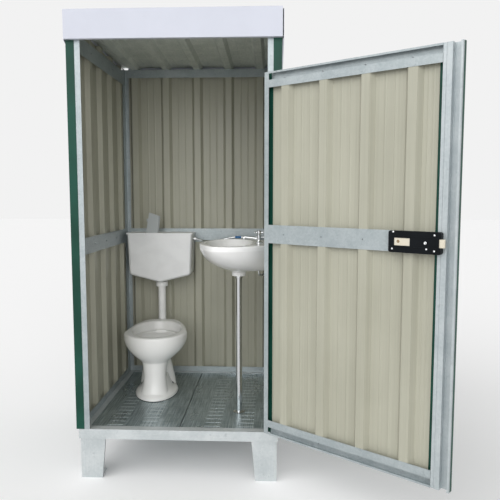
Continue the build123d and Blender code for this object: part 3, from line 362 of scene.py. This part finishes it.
class CabinColours(bpy.types.PropertyGroup):
    """Colours of the cabin's finishes"""

    zinc_light: colour_property("Zinc, light", "Clean galvanised steel", "CCD1D2")
    zinc_dark: colour_property("Zinc, dark", "Duller clouds of galvanised steel", "BAC1C3")
    zinc_mark: colour_property("Zinc, marked", "Handling marks on galvanised steel", "9BA3A6")
    rail_light: colour_property("Rail zinc, light", "Clean zinc of the posts and rails", "AFB7B9")
    rail_dark: colour_property("Rail zinc, dark", "Duller clouds of the posts and rails", "9AA4A7")
    rail_mark: colour_property("Rail zinc, marked", "Handling marks on posts and rails", "838D91")
    # The lock stile's zinc is lighter than the rails' zinc: a painted reflection of the bright surroundings
    # on its edge.
    stile_painted_reflection_light: colour_property("Lock stile, light", "Zinc of the door's lock stile, lightened as a painted reflection", "BEC5C7")
    stile_painted_reflection_dark: colour_property("Lock stile, dark", "Duller clouds of the door's lock stile", "ABB4B7")
    # The roof sheet's zinc is paler than the frame's: painted light on its underside, which lies in shade.
    roof_painted_light_pale: colour_property("Roof zinc, light", "Zinc of the roof sheet, lightened as painted light on its shaded underside", "DCE0D9")
    roof_painted_light_dim: colour_property("Roof zinc, dark", "Duller clouds of the roof sheet", "C3CAC2")
    floor_light: colour_property("Floor, light", "Scuffed zinc of the floor", "B4C0C3")
    floor_dark: colour_property("Floor, dark", "Dull zinc of the floor", "7A898D")
    floor_film: colour_property("Floor film", "Dried film on the floor", "78837E")
    floor_worn_and_highlight: colour_property("Floor, worn and highlighted", "Tops of the bosses, worn and with a painted highlight", "C2C9CA")
    beige_light: colour_property("Inside coat, light", "Backing coat of the sheets", "B0AF9F")
    beige_dark: colour_property("Inside coat, dark", "Dusty backing coat of the sheets", "A4A393")
    green_light: colour_property("Green, light", "Outside paint of sheets and trims", "174A3D")
    green_dark: colour_property("Green, dark", "Outside paint, duller", "113D31")
    white_light: colour_property("White paint, light", "Fascia and roof trims", "D0D3DE")
    white_dark: colour_property("White paint, dark", "Fascia and roof trims, duller", "CCCFDA")
    china_light: colour_property("China, light", "Glazed china", "F7F7F6")
    china_dark: colour_property("China, dark", "Glazed china, duller", "F1F1F0")
    tank_light: colour_property("Cistern, light", "Cistern plastic", "F3F4F4")
    tank_dark: colour_property("Cistern, dark", "Cistern plastic, duller", "ECEDED")
    plate_light: colour_property("Grey plate, light", "Folded plate over the cistern", "BBC0C0")
    plate_dark: colour_property("Grey plate, dark", "Folded plate over the cistern, duller", "AEB3B3")
    screws: colour_property("Screws", "Zinc-plated screws of sheets and hinges", "A9B0B3")
    brass: colour_property("Brass screw", "Screw in the latch bolt", "9C8462")
    chrome: colour_property("Chrome", "Tap, waste pipe and supply pipe", "DADCDD")
    black: colour_property("Black plastic", "Latch case", "0B0E11")
    cream: colour_property("Cream plastic", "Latch bolt", "DAD2BF")
    blue: colour_property("Blue plastic", "Sleeve on the supply pipe", "2F6DA8")


class CabinSizes(bpy.types.PropertyGroup):
    """Sizes of the small fittings and of the studio floor"""

    screw_radius: length_property("Screw head", "Radius of the sheet screws' washers", 0.0055)
    rivet_radius: length_property("Rivet head", "Radius of the latch rivets", 0.0045)
    backdrop: length_property("Floor size", "Side of the studio floor", 60.0)


# The sheets' ribs: pitch, and places of the middle one on the side and back walls and of the door's first
RIB_PITCH = 0.2005
SIDE_RIB, BACK_RIB, DOOR_RIB = -0.00725, -0.022, 0.1115
SHEET_THICKNESS, RAIL_WALL = 0.0012, 0.002
# The door: its opening as photographed, the hinges' axis, and the hinge edge and inner face of the shut leaf
DOOR_OPEN = np.radians(143.08)
HINGE_AXIS = (0.447, -0.538)
LEAF_EDGE, LEAF_FACE = 0.441, -0.5055
LEAF_OUT = np.array([np.sin(DOOR_OPEN), -np.cos(DOOR_OPEN), 0.0])
HINGE_LEVELS = (0.42, 1.13, 1.84)

BASE_STEEL = {
    "Z": ["leg_front_left", "leg_front_right", "leg_rear_left", "leg_rear_right"],
    "Y": ["base_left", "base_right"],
    "X": ["base_front", "base_rear"],
}
RAIL_STEEL = {
    "Z": [
        "post_front_left", "post_front_right", "post_rear_left", "post_rear_right",
        "post_hinges", "door_hinges", "door_hinge_stile",
    ],
    "Y": [
        "mid_rail_left", "mid_rail_right", "foot_rail_left", "foot_rail_right",
        "top_rail_left", "top_rail_right",
    ],
    "X": [
        "mid_rail_back", "foot_rail_back", "top_rail_back", "top_rail_front",
        "door_top_rail", "door_bottom_rail", "door_mid_rail",
    ],
}


class CABIN_OT_frame(bpy.types.Operator):
    """Zinc on the base, legs, posts, rails, hinges and roof sheet"""

    bl_idname = "cabin.frame"
    bl_label = "Frame steel"

    def execute(self, context):
        colours = context.scene.cabin_colours
        base = (colours.zinc_dark, colours.zinc_light, colours.zinc_mark)
        rail = (colours.rail_dark, colours.rail_light, colours.rail_mark)
        for run, names in BASE_STEEL.items():
            dress(names, galvanised_steel(f"hot_dip_galvanised_steel_{run.lower()}", *base, run))
        for run, names in RAIL_STEEL.items():
            dress(names, galvanised_steel(f"pre_galvanised_steel_{run.lower()}", *rail, run))
        # the lock stile gets its own lighter zinc, a painted reflection on its outer edge
        stile = (colours.stile_painted_reflection_dark, colours.stile_painted_reflection_light, colours.zinc_mark)
        dress(["door_lock_stile"], galvanised_steel("galvanised_lock_stile_painted_reflection", *stile, "Z"))
        # the roof sheet's own paler zinc is painted light on its shaded underside
        roof = (colours.roof_painted_light_dim, colours.roof_painted_light_pale, colours.zinc_mark)
        dress(["roof_sheet"], galvanised_steel("hot_dip_galvanised_roof_sheet_painted_light", *roof, "Y", 0.55))
        dress(["floor_plank_left", "floor_plank_right"], floor_plate("embossed_floor_plate", colours))
        return {"FINISHED"}


class CABIN_OT_sheets(bpy.types.Operator):
    """Coil-coated wall and door sheets, green trims and white roof edges"""

    bl_idname = "cabin.sheets"
    bl_label = "Sheets and trims"

    def execute(self, context):
        colours = context.scene.cabin_colours
        outward = {
            "left_wall_sheet": (-1, 0, 0), "right_wall_sheet": (1, 0, 0), "back_wall_sheet": (0, 1, 0),
            "door_sheet": tuple(LEAF_OUT),
        }
        for name, direction in outward.items():
            dress([name], coated_sheet(f"coil_coated_{name}", direction, colours))
        green = sheet_paint("green_polyester_paint", colours.green_dark, colours.green_light, 0.35)
        dress(
            ["front_trim_left", "front_trim_right", "rear_trim_left", "rear_trim_right", "door_trim_hinge",
             "door_trim_lock"],
            green,
        )
        white = sheet_paint("white_polyester_paint", colours.white_dark, colours.white_light, 0.4)
        dress(["front_fascia", "roof_trim_left", "roof_trim_right", "roof_trim_rear"], white)
        return {"FINISHED"}


class CABIN_OT_sanitary(bpy.types.Operator):
    """Pan, cistern, basin, pipes and tap"""

    bl_idname = "cabin.sanitary"
    bl_label = "Sanitary ware"

    def execute(self, context):
        colours = context.scene.cabin_colours
        dress(["toilet_pan", "basin"], vitreous_china("vitreous_china", colours))
        tank = moulded_plastic("polypropylene_cistern", colours.tank_dark, colours.tank_light, 0.3, 0.003)
        dress(["cistern_tank", "cistern_cover"], tank)
        pipe = moulded_plastic("white_pvc_pipe", colours.china_dark, colours.china_light, 0.3, 0.003)
        dress(["flush_pipe"], pipe)
        plate = sheet_paint("satin_grey_plate", colours.plate_dark, colours.plate_light, 0.35)
        dress(["folded_plate"], plate)
        chrome = bright_metal("chrome_plated_brass", colours.chrome, 0.1)
        dress(["waste_pipe", "tap_body", "tap_handle", "supply_pipe"], chrome)
        return {"FINISHED"}


# The pan in millimetres, from its foot up and from the flush pipe's axis to the front.
# Each row: height, half width, front, back, half width of the back, roundness of the front, rise to the back
PAN_SKIN = (
    (0, 92, 503, 200, 60, 0.92, 0), (22, 84, 494, 205, 50, 0.92, 0), (64, 71, 476, 215, 42, 0.92, 0),
    (116, 65, 466, 240, 36, 0.92, 0), (165, 68, 464, 240, 36, 0.92, 0), (200, 74, 464, 236, 42, 0.92, 1),
    (213, 82, 468, 229, 48, 0.92, 1), (240, 116, 490, 196, 66, 0.92, 3), (268, 149, 506, 150, 82, 0.93, 5),
    (296, 171, 515, 102, 95, 0.94, 8), (320, 182, 519, 66, 102, 0.95, 11), (336, 185, 520, 34, 106, 0.95, 12),
)
PAN_FLANGE = (
    (0, 125, 511, 180, 92, 1.62, 0), (10, 125, 511, 180, 92, 1.62, 0), (18, 122, 507, 182, 90, 1.62, 0),
    (27, 113, 497, 184, 86, 1.6, 0), (42, 96, 482, 186, 80, 1.55, 0), (70, 80, 470, 190, 72, 1.5, 0),
    (110, 66, 460, 196, 62, 1.4, 0),
)
PAN_HOUSING = (
    (0, 112, 320, 178, 96, 0.7, 0), (60, 103, 320, 179, 90, 0.7, 0), (130, 90, 325, 182, 80, 0.7, 0),
    (190, 78, 330, 188, 66, 0.7, 0), (235, 66, 330, 200, 50, 0.7, 0),
)
# The hollow's rings: drop below the rim, half width, half length, shift to the front
PAN_BOWL = (
    (0, 150, 201, 0), (3, 145, 196, 0), (9, 142, 193, 0), (28, 141, 190, 1), (46, 141, 188, 3),
    (49, 150, 197, 4), (58, 153, 199, 5), (70, 140, 176, 14), (90, 119, 150, 22), (110, 92, 118, 32),
    (130, 60, 80, 40), (144, 36, 46, 47), (150, 8, 10, 50),
)
# The outline under the rolled lip, and the outer and inner outlines of the bead under the foot
PAN_LIP = (0, 185, 520, 26, 106, 0.95, 12)
PAN_JOINT = ((0.1, 126.2, 512.2, 178.8, 93.2, 1.62, 0), (0.1, 124.6, 510.6, 180.4, 91.6, 1.62, 0))
# Height of the rim, reach of its front, middle of the hollow, rise of the rim to the back, radius of the lip
PAN_TOP, PAN_FRONT, PAN_MIDDLE, PAN_RISE, PAN_ROUNDING = 367.4, 520, 287, 12, 13
# Points round the pan, and degrees by which it stands turned
PAN_SIDES = 128
PAN_TURN = 4.5


class CABIN_OT_pan(bpy.types.Operator):
    """The china pan: flared foot, waisted column, rim rising to its shelf, rolled lip and hollow bowl"""

    bl_idname = "cabin.pan"
    bl_label = "China pan"

    def execute(self, context):
        turn = -np.linspace(0, 2 * np.pi, PAN_SIDES, endpoint=False)
        tubes = [self.shell(turn)]
        for rows in (PAN_FLANGE, PAN_HOUSING):
            rings = pan_rings(smooth_rows(rows))
            middle = rings[-1].mean(axis=0)
            lid = middle + (rings[-1] - middle) * 0.02
            tubes.append(np.vstack([rings, lid[None]]))
        tubes.append(self.horn(turn))
        pan = tube_mesh("china_pan", [pan_place(tube) for tube in tubes])
        finish_piece(pan, bpy.data.materials["vitreous_china"], "cabin")
        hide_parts("toilet_pan")
        self.joint()
        return {"FINISHED"}

    def shell(self, turn):
        """Outside, rolled lip and hollow in one skin.

        The lip is a quarter circle that turns inwards from the top outline. The hollow's rings are ellipses
        whose middle moves to the front as they drop, and the upper ones rise to the back with the rim."""
        angle = np.radians(np.linspace(0, 90, 8))[:, None]
        lip = np.tile(np.array(PAN_LIP, float), (len(angle), 1))
        lip[:, :1] = PAN_TOP - PAN_ROUNDING + PAN_ROUNDING * np.sin(angle)
        lip[:, 1:5] += PAN_ROUNDING * (1 - np.cos(angle)) * np.array([-1, -1, 1, -1])
        outside = pan_rings(np.vstack([smooth_rows(PAN_SKIN), lip]), PAN_SIDES, 6.0)
        drop, half, length, shift = smooth_rows(PAN_BOWL, 4).T[:, :, None]
        reach = PAN_MIDDLE + shift + length * np.sin(turn)
        tilt = np.clip(1 - drop / 60, 0, 1) * PAN_RISE
        level = PAN_TOP - drop + tilt * (PAN_FRONT - reach) / PAN_FRONT
        hollow = np.stack([half * np.cos(turn), -reach, level], axis=-1)
        share = np.linspace(0, 1, 6)[1:-1, None, None]
        shelf = (1 - share) * outside[-1] + share * hollow[0]
        return np.vstack([outside, shelf, hollow])

    def horn(self, turn):
        """The flush pipe's socket: circles of (radius, distance from the pipe's axis), 66 mm below the rim.

        The lower edge leans forward past the mouth, so that the horn ends between the skin and the hollow."""
        radius, reach = np.array(
            [(24.6, 62), (24.6, 42), (25.6, 40.4), (30, 40.4), (31.4, 42), (31.4, 66), (33, 86), (35, 106)]
        ).T[:, :, None]
        lean = np.where(np.sin(turn) < 0, -52, -14) * np.sin(turn) * np.clip((reach - 66) / 40, 0, 1)
        level = PAN_TOP - 66.4 + radius * np.sin(turn)
        return np.stack([-radius * np.cos(turn), -reach - lean, level], axis=-1)

    def joint(self):
        """The thin dark line where the foot meets the floor, a painted shadow of the contact there: a bead
        1.2 mm past the foot and 2.6 mm high.
        """
        wide, narrow = (np.array(row) for row in PAN_JOINT)
        up = np.eye(7)[0]
        rings = pan_rings([wide, wide + 1.5 * up, narrow + 2.5 * up, narrow])
        bead = tube_mesh("pan_joint", [pan_place(rings)], looped=True)
        # the bead's near-black colour is painted shadow at the pan's foot
        painted_shadow_coat = moulded_plastic("painted_shadow_bedding_line", linear("2A2F2E"), linear("3A403E"), 0.7, 0.004)
        finish_piece(bead, painted_shadow_coat, "cabin")


class CABIN_OT_details(bpy.types.Operator):
    """Screws, rivets, bolts, rings and the pipe's sleeve"""

    bl_idname = "cabin.details"
    bl_label = "Fasteners and fittings"

    def execute(self, context):
        sizes, colours = context.scene.cabin_sizes, context.scene.cabin_colours
        zinc = bright_metal("zinc_plated_fasteners", colours.screws, 0.3)
        self.sheet_screws(sizes, zinc)
        self.door_screws(sizes, zinc)
        self.hinge_screws(zinc)
        self.latch_rivets(sizes, colours)
        self.sanitary_fittings(colours)
        return {"FINISHED"}

    def heads(self, name, places, normals, radius, material, body):
        """Hexagon heads on pressed washers."""
        washer = [(radius, 0), (radius, 0.0007), (radius * 0.8, 0.0012), (0.0001, 0.0014)]
        hexagon = [(radius * 0.6, 0.001), (radius * 0.6, 0.0036), (radius * 0.5, 0.0041), (0.0001, 0.0043)]
        washers = turned_studs(f"{name}_washers", places, normals, washer, 20)
        finish_piece(washers, material, body)
        nuts = turned_studs(f"{name}_heads", places, normals, hexagon, 6)
        nuts.data.shade_flat()
        finish_piece(nuts, material, body)

    def tips(self, name, places, normals, material, body):
        """The points of the screws, which come through the steel inside."""
        point = [(0.0021, 0), (0.0021, 0.004), (0.0015, 0.0055), (0.0001, 0.0075)]
        tips = turned_studs(f"{name}_tips", places, normals, point, 10)
        finish_piece(tips, material, body)

    def sheet_screws(self, sizes, zinc):
        """A screw in each rib of the walls at every rail, with its point inside."""
        ribs = RIB_PITCH * np.arange(-2, 3)
        places, normals, ends = [], [], []
        for side, sign in (("left", -1), ("right", 1)):
            for rail in ("foot_rail", "mid_rail", "top_rail"):
                low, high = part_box(f"{rail}_{side}")
                level = (low[2] + high[2]) / 2
                inner = max(abs(low[0]), abs(high[0]))
                outer = inner + SHEET_THICKNESS
                for y in ribs[(ribs > low[1]) & (ribs < high[1])] + SIDE_RIB:
                    places.append((sign * outer, y, level))
                    normals.append((sign, 0, 0))
                    ends.append((sign * (inner - RAIL_WALL), y, level))
        for rail in ("foot_rail_back", "mid_rail_back", "top_rail_back"):
            low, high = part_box(rail)
            level = (low[2] + high[2]) / 2
            for x in ribs + BACK_RIB:
                places.append((x, high[1] + SHEET_THICKNESS, level))
                normals.append((0, 1, 0))
                ends.append((x, low[1], level))
        self.heads("wall_screw", places, normals, sizes.screw_radius, zinc, "cabin")
        self.tips("wall_screw", ends, -np.array(normals), zinc, "cabin")

    def door_point(self, along, out, level):
        """A point of the open door: its place on the shut leaf, turned about the hinges' axis.

        The place is the distance from the leaf's hinge edge and the distance outwards from its inner face."""
        x, y = LEAF_EDGE - along - HINGE_AXIS[0], LEAF_FACE - out - HINGE_AXIS[1]
        return (
            HINGE_AXIS[0] + x * np.cos(DOOR_OPEN) - y * np.sin(DOOR_OPEN),
            HINGE_AXIS[1] + x * np.sin(DOOR_OPEN) + y * np.cos(DOOR_OPEN),
            level,
        )

    def door_screws(self, sizes, zinc):
        """A screw in each rib of the door at its three rails."""
        places = []
        for rail in ("door_bottom_rail", "door_mid_rail", "door_top_rail"):
            low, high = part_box(rail)
            level = (low[2] + high[2]) / 2
            places += [self.door_point(DOOR_RIB + RIB_PITCH * index, 0.0, level) for index in range(4)]
        inner = np.repeat([-LEAF_OUT], len(places), axis=0)
        self.tips("door_screw", places, inner, zinc, "door")
        # the sheet lies on the rails' 1.6 mm flanges
        outer = np.array(places) + (0.0016 + SHEET_THICKNESS) * LEAF_OUT
        self.heads("door_screw", outer, -inner, sizes.screw_radius, zinc, "door")

    def hinge_screws(self, zinc):
        """Two flat screws in the fixed leaf of each hinge."""
        side, depth, half_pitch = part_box("post_hinges")[1][0], -0.512, 0.026
        places = [(side, depth, level + step) for level in HINGE_LEVELS for step in (-half_pitch, half_pitch)]
        profile = [
            (0.0042, 0), (0.0042, 0.0006), (0.003, 0.0016), (0.0014, 0.0019), (0.0012, 0.0012),
            (0.0001, 0.0012),
        ]
        screws = turned_studs("hinge_screws", places, [(1, 0, 0)] * len(places), profile)
        finish_piece(screws, zinc, "cabin")

    def latch_rivets(self, sizes, colours):
        """Domed rivets in the latch plate, a brass screw in the bolt and a turned button on the dome."""
        inner = -LEAF_OUT
        steel = bright_metal("polished_rivets", linear("E4E6E7"), 0.2)
        brass = bright_metal("dull_brass_screw", colours.brass, 0.35)
        # the case's dome, the bolt's face and the button's seat, all inside of the leaf's inner face
        dome, flat, seat = -0.0238, -0.0213, -0.0272
        r = sizes.rivet_radius
        spots = ((0.66, 1.2836), (0.656, 1.2169), (0.827, 1.276), (0.827, 1.2159), (0.796, 1.2218))
        places = [self.door_point(along, dome, level) for along, level in spots]
        round_head = [(r, 0), (r, 0.0008), (r * 0.85, 0.002), (r * 0.5, 0.003), (0.0001, 0.0033)]
        rivets = turned_studs("latch_rivets", places, [inner] * len(places), round_head)
        finish_piece(rivets, steel, "door")
        # the countersunk head stays 0.3 mm under the case, which it passes when the bolt slides
        slotted = [(0.0062, 0), (0.006, 0.0003), (0.0026, 0.0004), (0.0022, 0.0002), (0.0001, 0.0002)]
        place = self.door_point(0.68, flat, 1.2464)
        finish_piece(turned_studs("bolt_screw", [place], [inner], slotted), brass, "latch_bolt")
        button = [
            (0.0062, 0), (0.0062, 0.0016), (0.0052, 0.0028), (0.0026, 0.003), (0.0022, 0.0016),
            (0.0001, 0.0016),
        ]
        place = self.door_point(0.793, seat, 1.2456)
        finish_piece(turned_studs("latch_button", [place], [inner], button), steel, "door")

    def sanitary_fittings(self, colours):
        """Waste ring in the basin, flutes of the flush nut, foot bolts and the sleeve on the supply pipe."""
        chrome = bpy.data.materials["chrome_plated_brass"]
        low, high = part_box("waste_pipe")
        x, y = (low[0] + high[0]) / 2, (low[1] + high[1]) / 2
        corners = nodes["basin"].data.vertices
        basin = np.empty(len(corners) * 3)
        corners.foreach_get("co", basin)
        basin = basin.reshape(-1, 3)
        # the bowl's lowest level, right over the waste pipe
        near = basin[(np.hypot(basin[:, 0] - x, basin[:, 1] - y) < 0.03) & (basin[:, 2] > 1.05)]
        bottom = near[:, 2].min()
        ring = [
            (0.031, -0.006), (0.031, -0.001), (0.031, 0.0022), (0.029, 0.0034), (0.023, 0.0026),
            (0.0195, 0.0006), (0.019, -0.003), (0.0001, -0.004),
        ]
        piece = turned_studs("basin_waste_ring", [(x, y, bottom)], [(0, 0, 1)], ring, 40)
        finish_piece(piece, chrome, "cabin")
        self.flutes(bpy.data.materials["white_pvc_pipe"])
        bolts = pan_place(np.array([(side * 91.0, -304.0, 47.0) for side in (-1, 1)]))
        slope = [(side * 0.55, -0.1, 0.83) for side in (-1, 1)]
        bolt = [
            (0.0085, -0.004), (0.0085, 0.001), (0.007, 0.0022), (0.004, 0.0026), (0.003, 0.0012),
            (0.0001, 0.0012),
        ]
        # the bolts are grey metal, darkened further as painted shade of the holes they sit in
        dull = bright_metal("shade_darkened_foot_bolts", linear("6E7375"), 0.4)
        finish_piece(turned_studs("pan_foot_bolts", bolts, slope, bolt), dull, "cabin")
        # the sleeve's end and the pipe's middle, where it runs along the back wall
        pipe_radius, start, level = 0.0055, 0.222, 1.154
        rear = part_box("supply_pipe")[1][1]
        sleeve = [(0.0056, 0), (0.0067, 0.0008), (0.0067, 0.0372), (0.0056, 0.038)]
        blue = moulded_plastic("blue_sleeve", colours.blue, linear("3B7DB8"), 0.35, 0.002)
        piece = turned_studs("pipe_sleeve", [(start, rear - pipe_radius, level)], [(1, 0, 0)], sleeve, 24)
        finish_piece(piece, blue, "cabin")

    def flutes(self, plastic):
        """Grip flutes round the flush nut: a closed band whose radius is a circle's plus 24 half waves."""
        low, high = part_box("flush_pipe")
        centre = np.array([(low[0] + high[0]) / 2, high[1] - (high[0] - low[0]) / 2, high[2] - 0.03])
        turn = np.linspace(0, 2 * np.pi, 192, endpoint=False)
        wave = 0.0372 + 0.0011 * np.abs(np.cos(12 * turn))
        # height up the nut, depth under the wave, least radius
        height, inset, least = np.array([
            (0.0006, 0.0015, 0.0367), (0.0006, 0.0012, 0.0371), (0.002, 0, 0.0371), (0.027, 0, 0.0371),
            (0.0285, 0.0012, 0.0371), (0.0285, 0.0015, 0.0367),
        ]).T[:, :, None]
        radius = np.maximum(wave - inset, least)
        level = np.broadcast_to(height, radius.shape)
        rings = np.stack([radius * np.cos(turn), radius * np.sin(turn), level], axis=-1) + centre
        finish_piece(tube_mesh("flush_nut_flutes", [rings], looped=True), plastic, "cabin")


class CABIN_OT_latch(bpy.types.Operator):
    """Latch case and bolt"""

    bl_idname = "cabin.latch"
    bl_label = "Latch"

    def execute(self, context):
        colours = context.scene.cabin_colours
        case = moulded_plastic("black_abs", colours.black, linear("101418"), 0.42, 0.002)
        case.node_tree.nodes["Principled BSDF"].inputs["Specular IOR Level"].default_value = 0.12
        dress(["latch_case"], case)
        dress(["latch_bolt"], moulded_plastic("cream_nylon", colours.cream, linear("E2DBCB"), 0.35, 0.003))
        return {"FINISHED"}


class CABIN_OT_stage(bpy.types.Operator):
    """Pale floor, soft light and the camera at the photographed viewpoint"""

    bl_idname = "cabin.stage"
    bl_label = "Stage"

    def execute(self, context):
        scene = context.scene
        half = scene.cabin_sizes.backdrop / 2
        corners = np.array([[-half, -half, 0], [half, -half, 0], [half, half, 0], [-half, half, 0]])
        ground = mesh_from("studio_floor", corners, [[0, 1, 2, 3]])
        ground.data.materials.append(self.paper())
        self.light(scene)
        self.camera(scene)
        scene.view_settings.view_transform = "Standard"
        return {"FINISHED"}

    def paper(self):
        """White paper that the camera sees at the backdrop's tone, though it bounces less light than that."""
        material, tree, place = new_material("studio_paper")
        seen = seen_rays(tree)
        tones = {FACTOR: seen, FIRST: linear("DEDEDE"), SECOND: linear("FDFDFD")}
        tone = add(tree, "ShaderNodeMix", tones, data_type="RGBA")
        grain = clouds(tree, place, 0.6, 2.0)
        looks = {
            "Base Color": tinted(tree, grain, 0.0, 1.0, tone, linear("F0F0F0"), 0.01),
            "Roughness": 0.9,
            "Specular IOR Level": 0.0,
            "Emission Color": linear("FFFFFF"),
            "Emission Strength": add(tree, "ShaderNodeMath", {0: seen, 1: 0.04}, operation="MULTIPLY"),
        }
        cover(tree, looks)
        return material

    def light(self, scene):
        """A white dome, a broad soft sun high in front and a weaker one low in front that reaches indoors."""
        world = bpy.data.worlds.new("studio")
        scene.world = world
        world.use_nodes = True
        tree = world.node_tree
        tree.nodes.clear()
        seen = seen_rays(tree)
        dome = add(tree, "ShaderNodeBackground", {"Color": linear("FFFFFF"), "Strength": 0.56})
        backdrop = add(tree, "ShaderNodeBackground", {"Color": linear("FFFFFF"), "Strength": 0.888})
        both = add(tree, "ShaderNodeMixShader", {0: seen, 1: dome, 2: backdrop})
        add(tree, "ShaderNodeOutputWorld", {"Surface": both})
        # strength, angle across the disc in radians, and the side that the light comes from
        for name, energy, angle, toward in (
            ("high_soft_sun", 1.12, 1.0, (-0.85, -0.8, 0.85)),
            ("low_front_fill", 1.27, 0.9, (0.05, -1.0, 0.3)),
        ):
            lamp = bpy.data.lights.new(name, "SUN")
            lamp.energy = energy
            lamp.angle = angle
            sun = bpy.data.objects.new(name, lamp)
            scene.collection.objects.link(sun)
            sun.rotation_euler = Vector(toward).to_track_quat("Z", "Y").to_euler()

    def camera(self, scene):
        """The viewpoint worked out from the photographed frame's straight lines."""
        data = bpy.data.cameras.new("viewpoint")
        focal_length, picture_width = 584.1349, 500
        data.sensor_width = 36.0
        data.lens = focal_length / picture_width * data.sensor_width
        viewer = bpy.data.objects.new("viewpoint", data)
        scene.collection.objects.link(viewer)
        yaw, pitch = 0.046, 0.0954
        forward = Vector((-np.sin(yaw) * np.cos(pitch), np.cos(yaw) * np.cos(pitch), -np.sin(pitch)))
        viewer.location = (0.4896, -3.2937, 1.4301)
        viewer.rotation_euler = forward.to_track_quat("-Z", "Y").to_euler()
        scene.camera = viewer


class CABIN_PT_panel(bpy.types.Panel):
    """The cabin's finishes and its stage"""

    bl_idname = "CABIN_PT_panel"
    bl_label = "Cabin"
    bl_space_type = "VIEW_3D"
    bl_region_type = "UI"
    bl_category = "Cabin"

    def draw(self, context):
        for group in (context.scene.cabin_colours, context.scene.cabin_sizes):
            for key in group.bl_rna.properties.keys():
                if key not in ("rna_type", "name"):
                    self.layout.prop(group, key)
        for operator in OPERATORS:
            self.layout.operator(operator.bl_idname)


OPERATORS = (
    CABIN_OT_frame, CABIN_OT_sheets, CABIN_OT_sanitary, CABIN_OT_pan, CABIN_OT_latch, CABIN_OT_details,
    CABIN_OT_stage,
)
CLASSES = (CabinColours, CabinSizes, *OPERATORS, CABIN_PT_panel)


def register():
    for cls in CLASSES:
        bpy.utils.register_class(cls)
    bpy.types.Scene.cabin_colours = bpy.props.PointerProperty(type=CabinColours)
    bpy.types.Scene.cabin_sizes = bpy.props.PointerProperty(type=CabinSizes)


def unregister():
    del bpy.types.Scene.cabin_sizes
    del bpy.types.Scene.cabin_colours
    for cls in reversed(CLASSES):
        bpy.utils.unregister_class(cls)


def main():
    register()
    bpy.ops.cabin.frame()
    bpy.ops.cabin.sheets()
    bpy.ops.cabin.sanitary()
    bpy.ops.cabin.pan()
    bpy.ops.cabin.latch()
    bpy.ops.cabin.details()
    bpy.ops.cabin.stage()


if __name__ == "__main__":
    main()
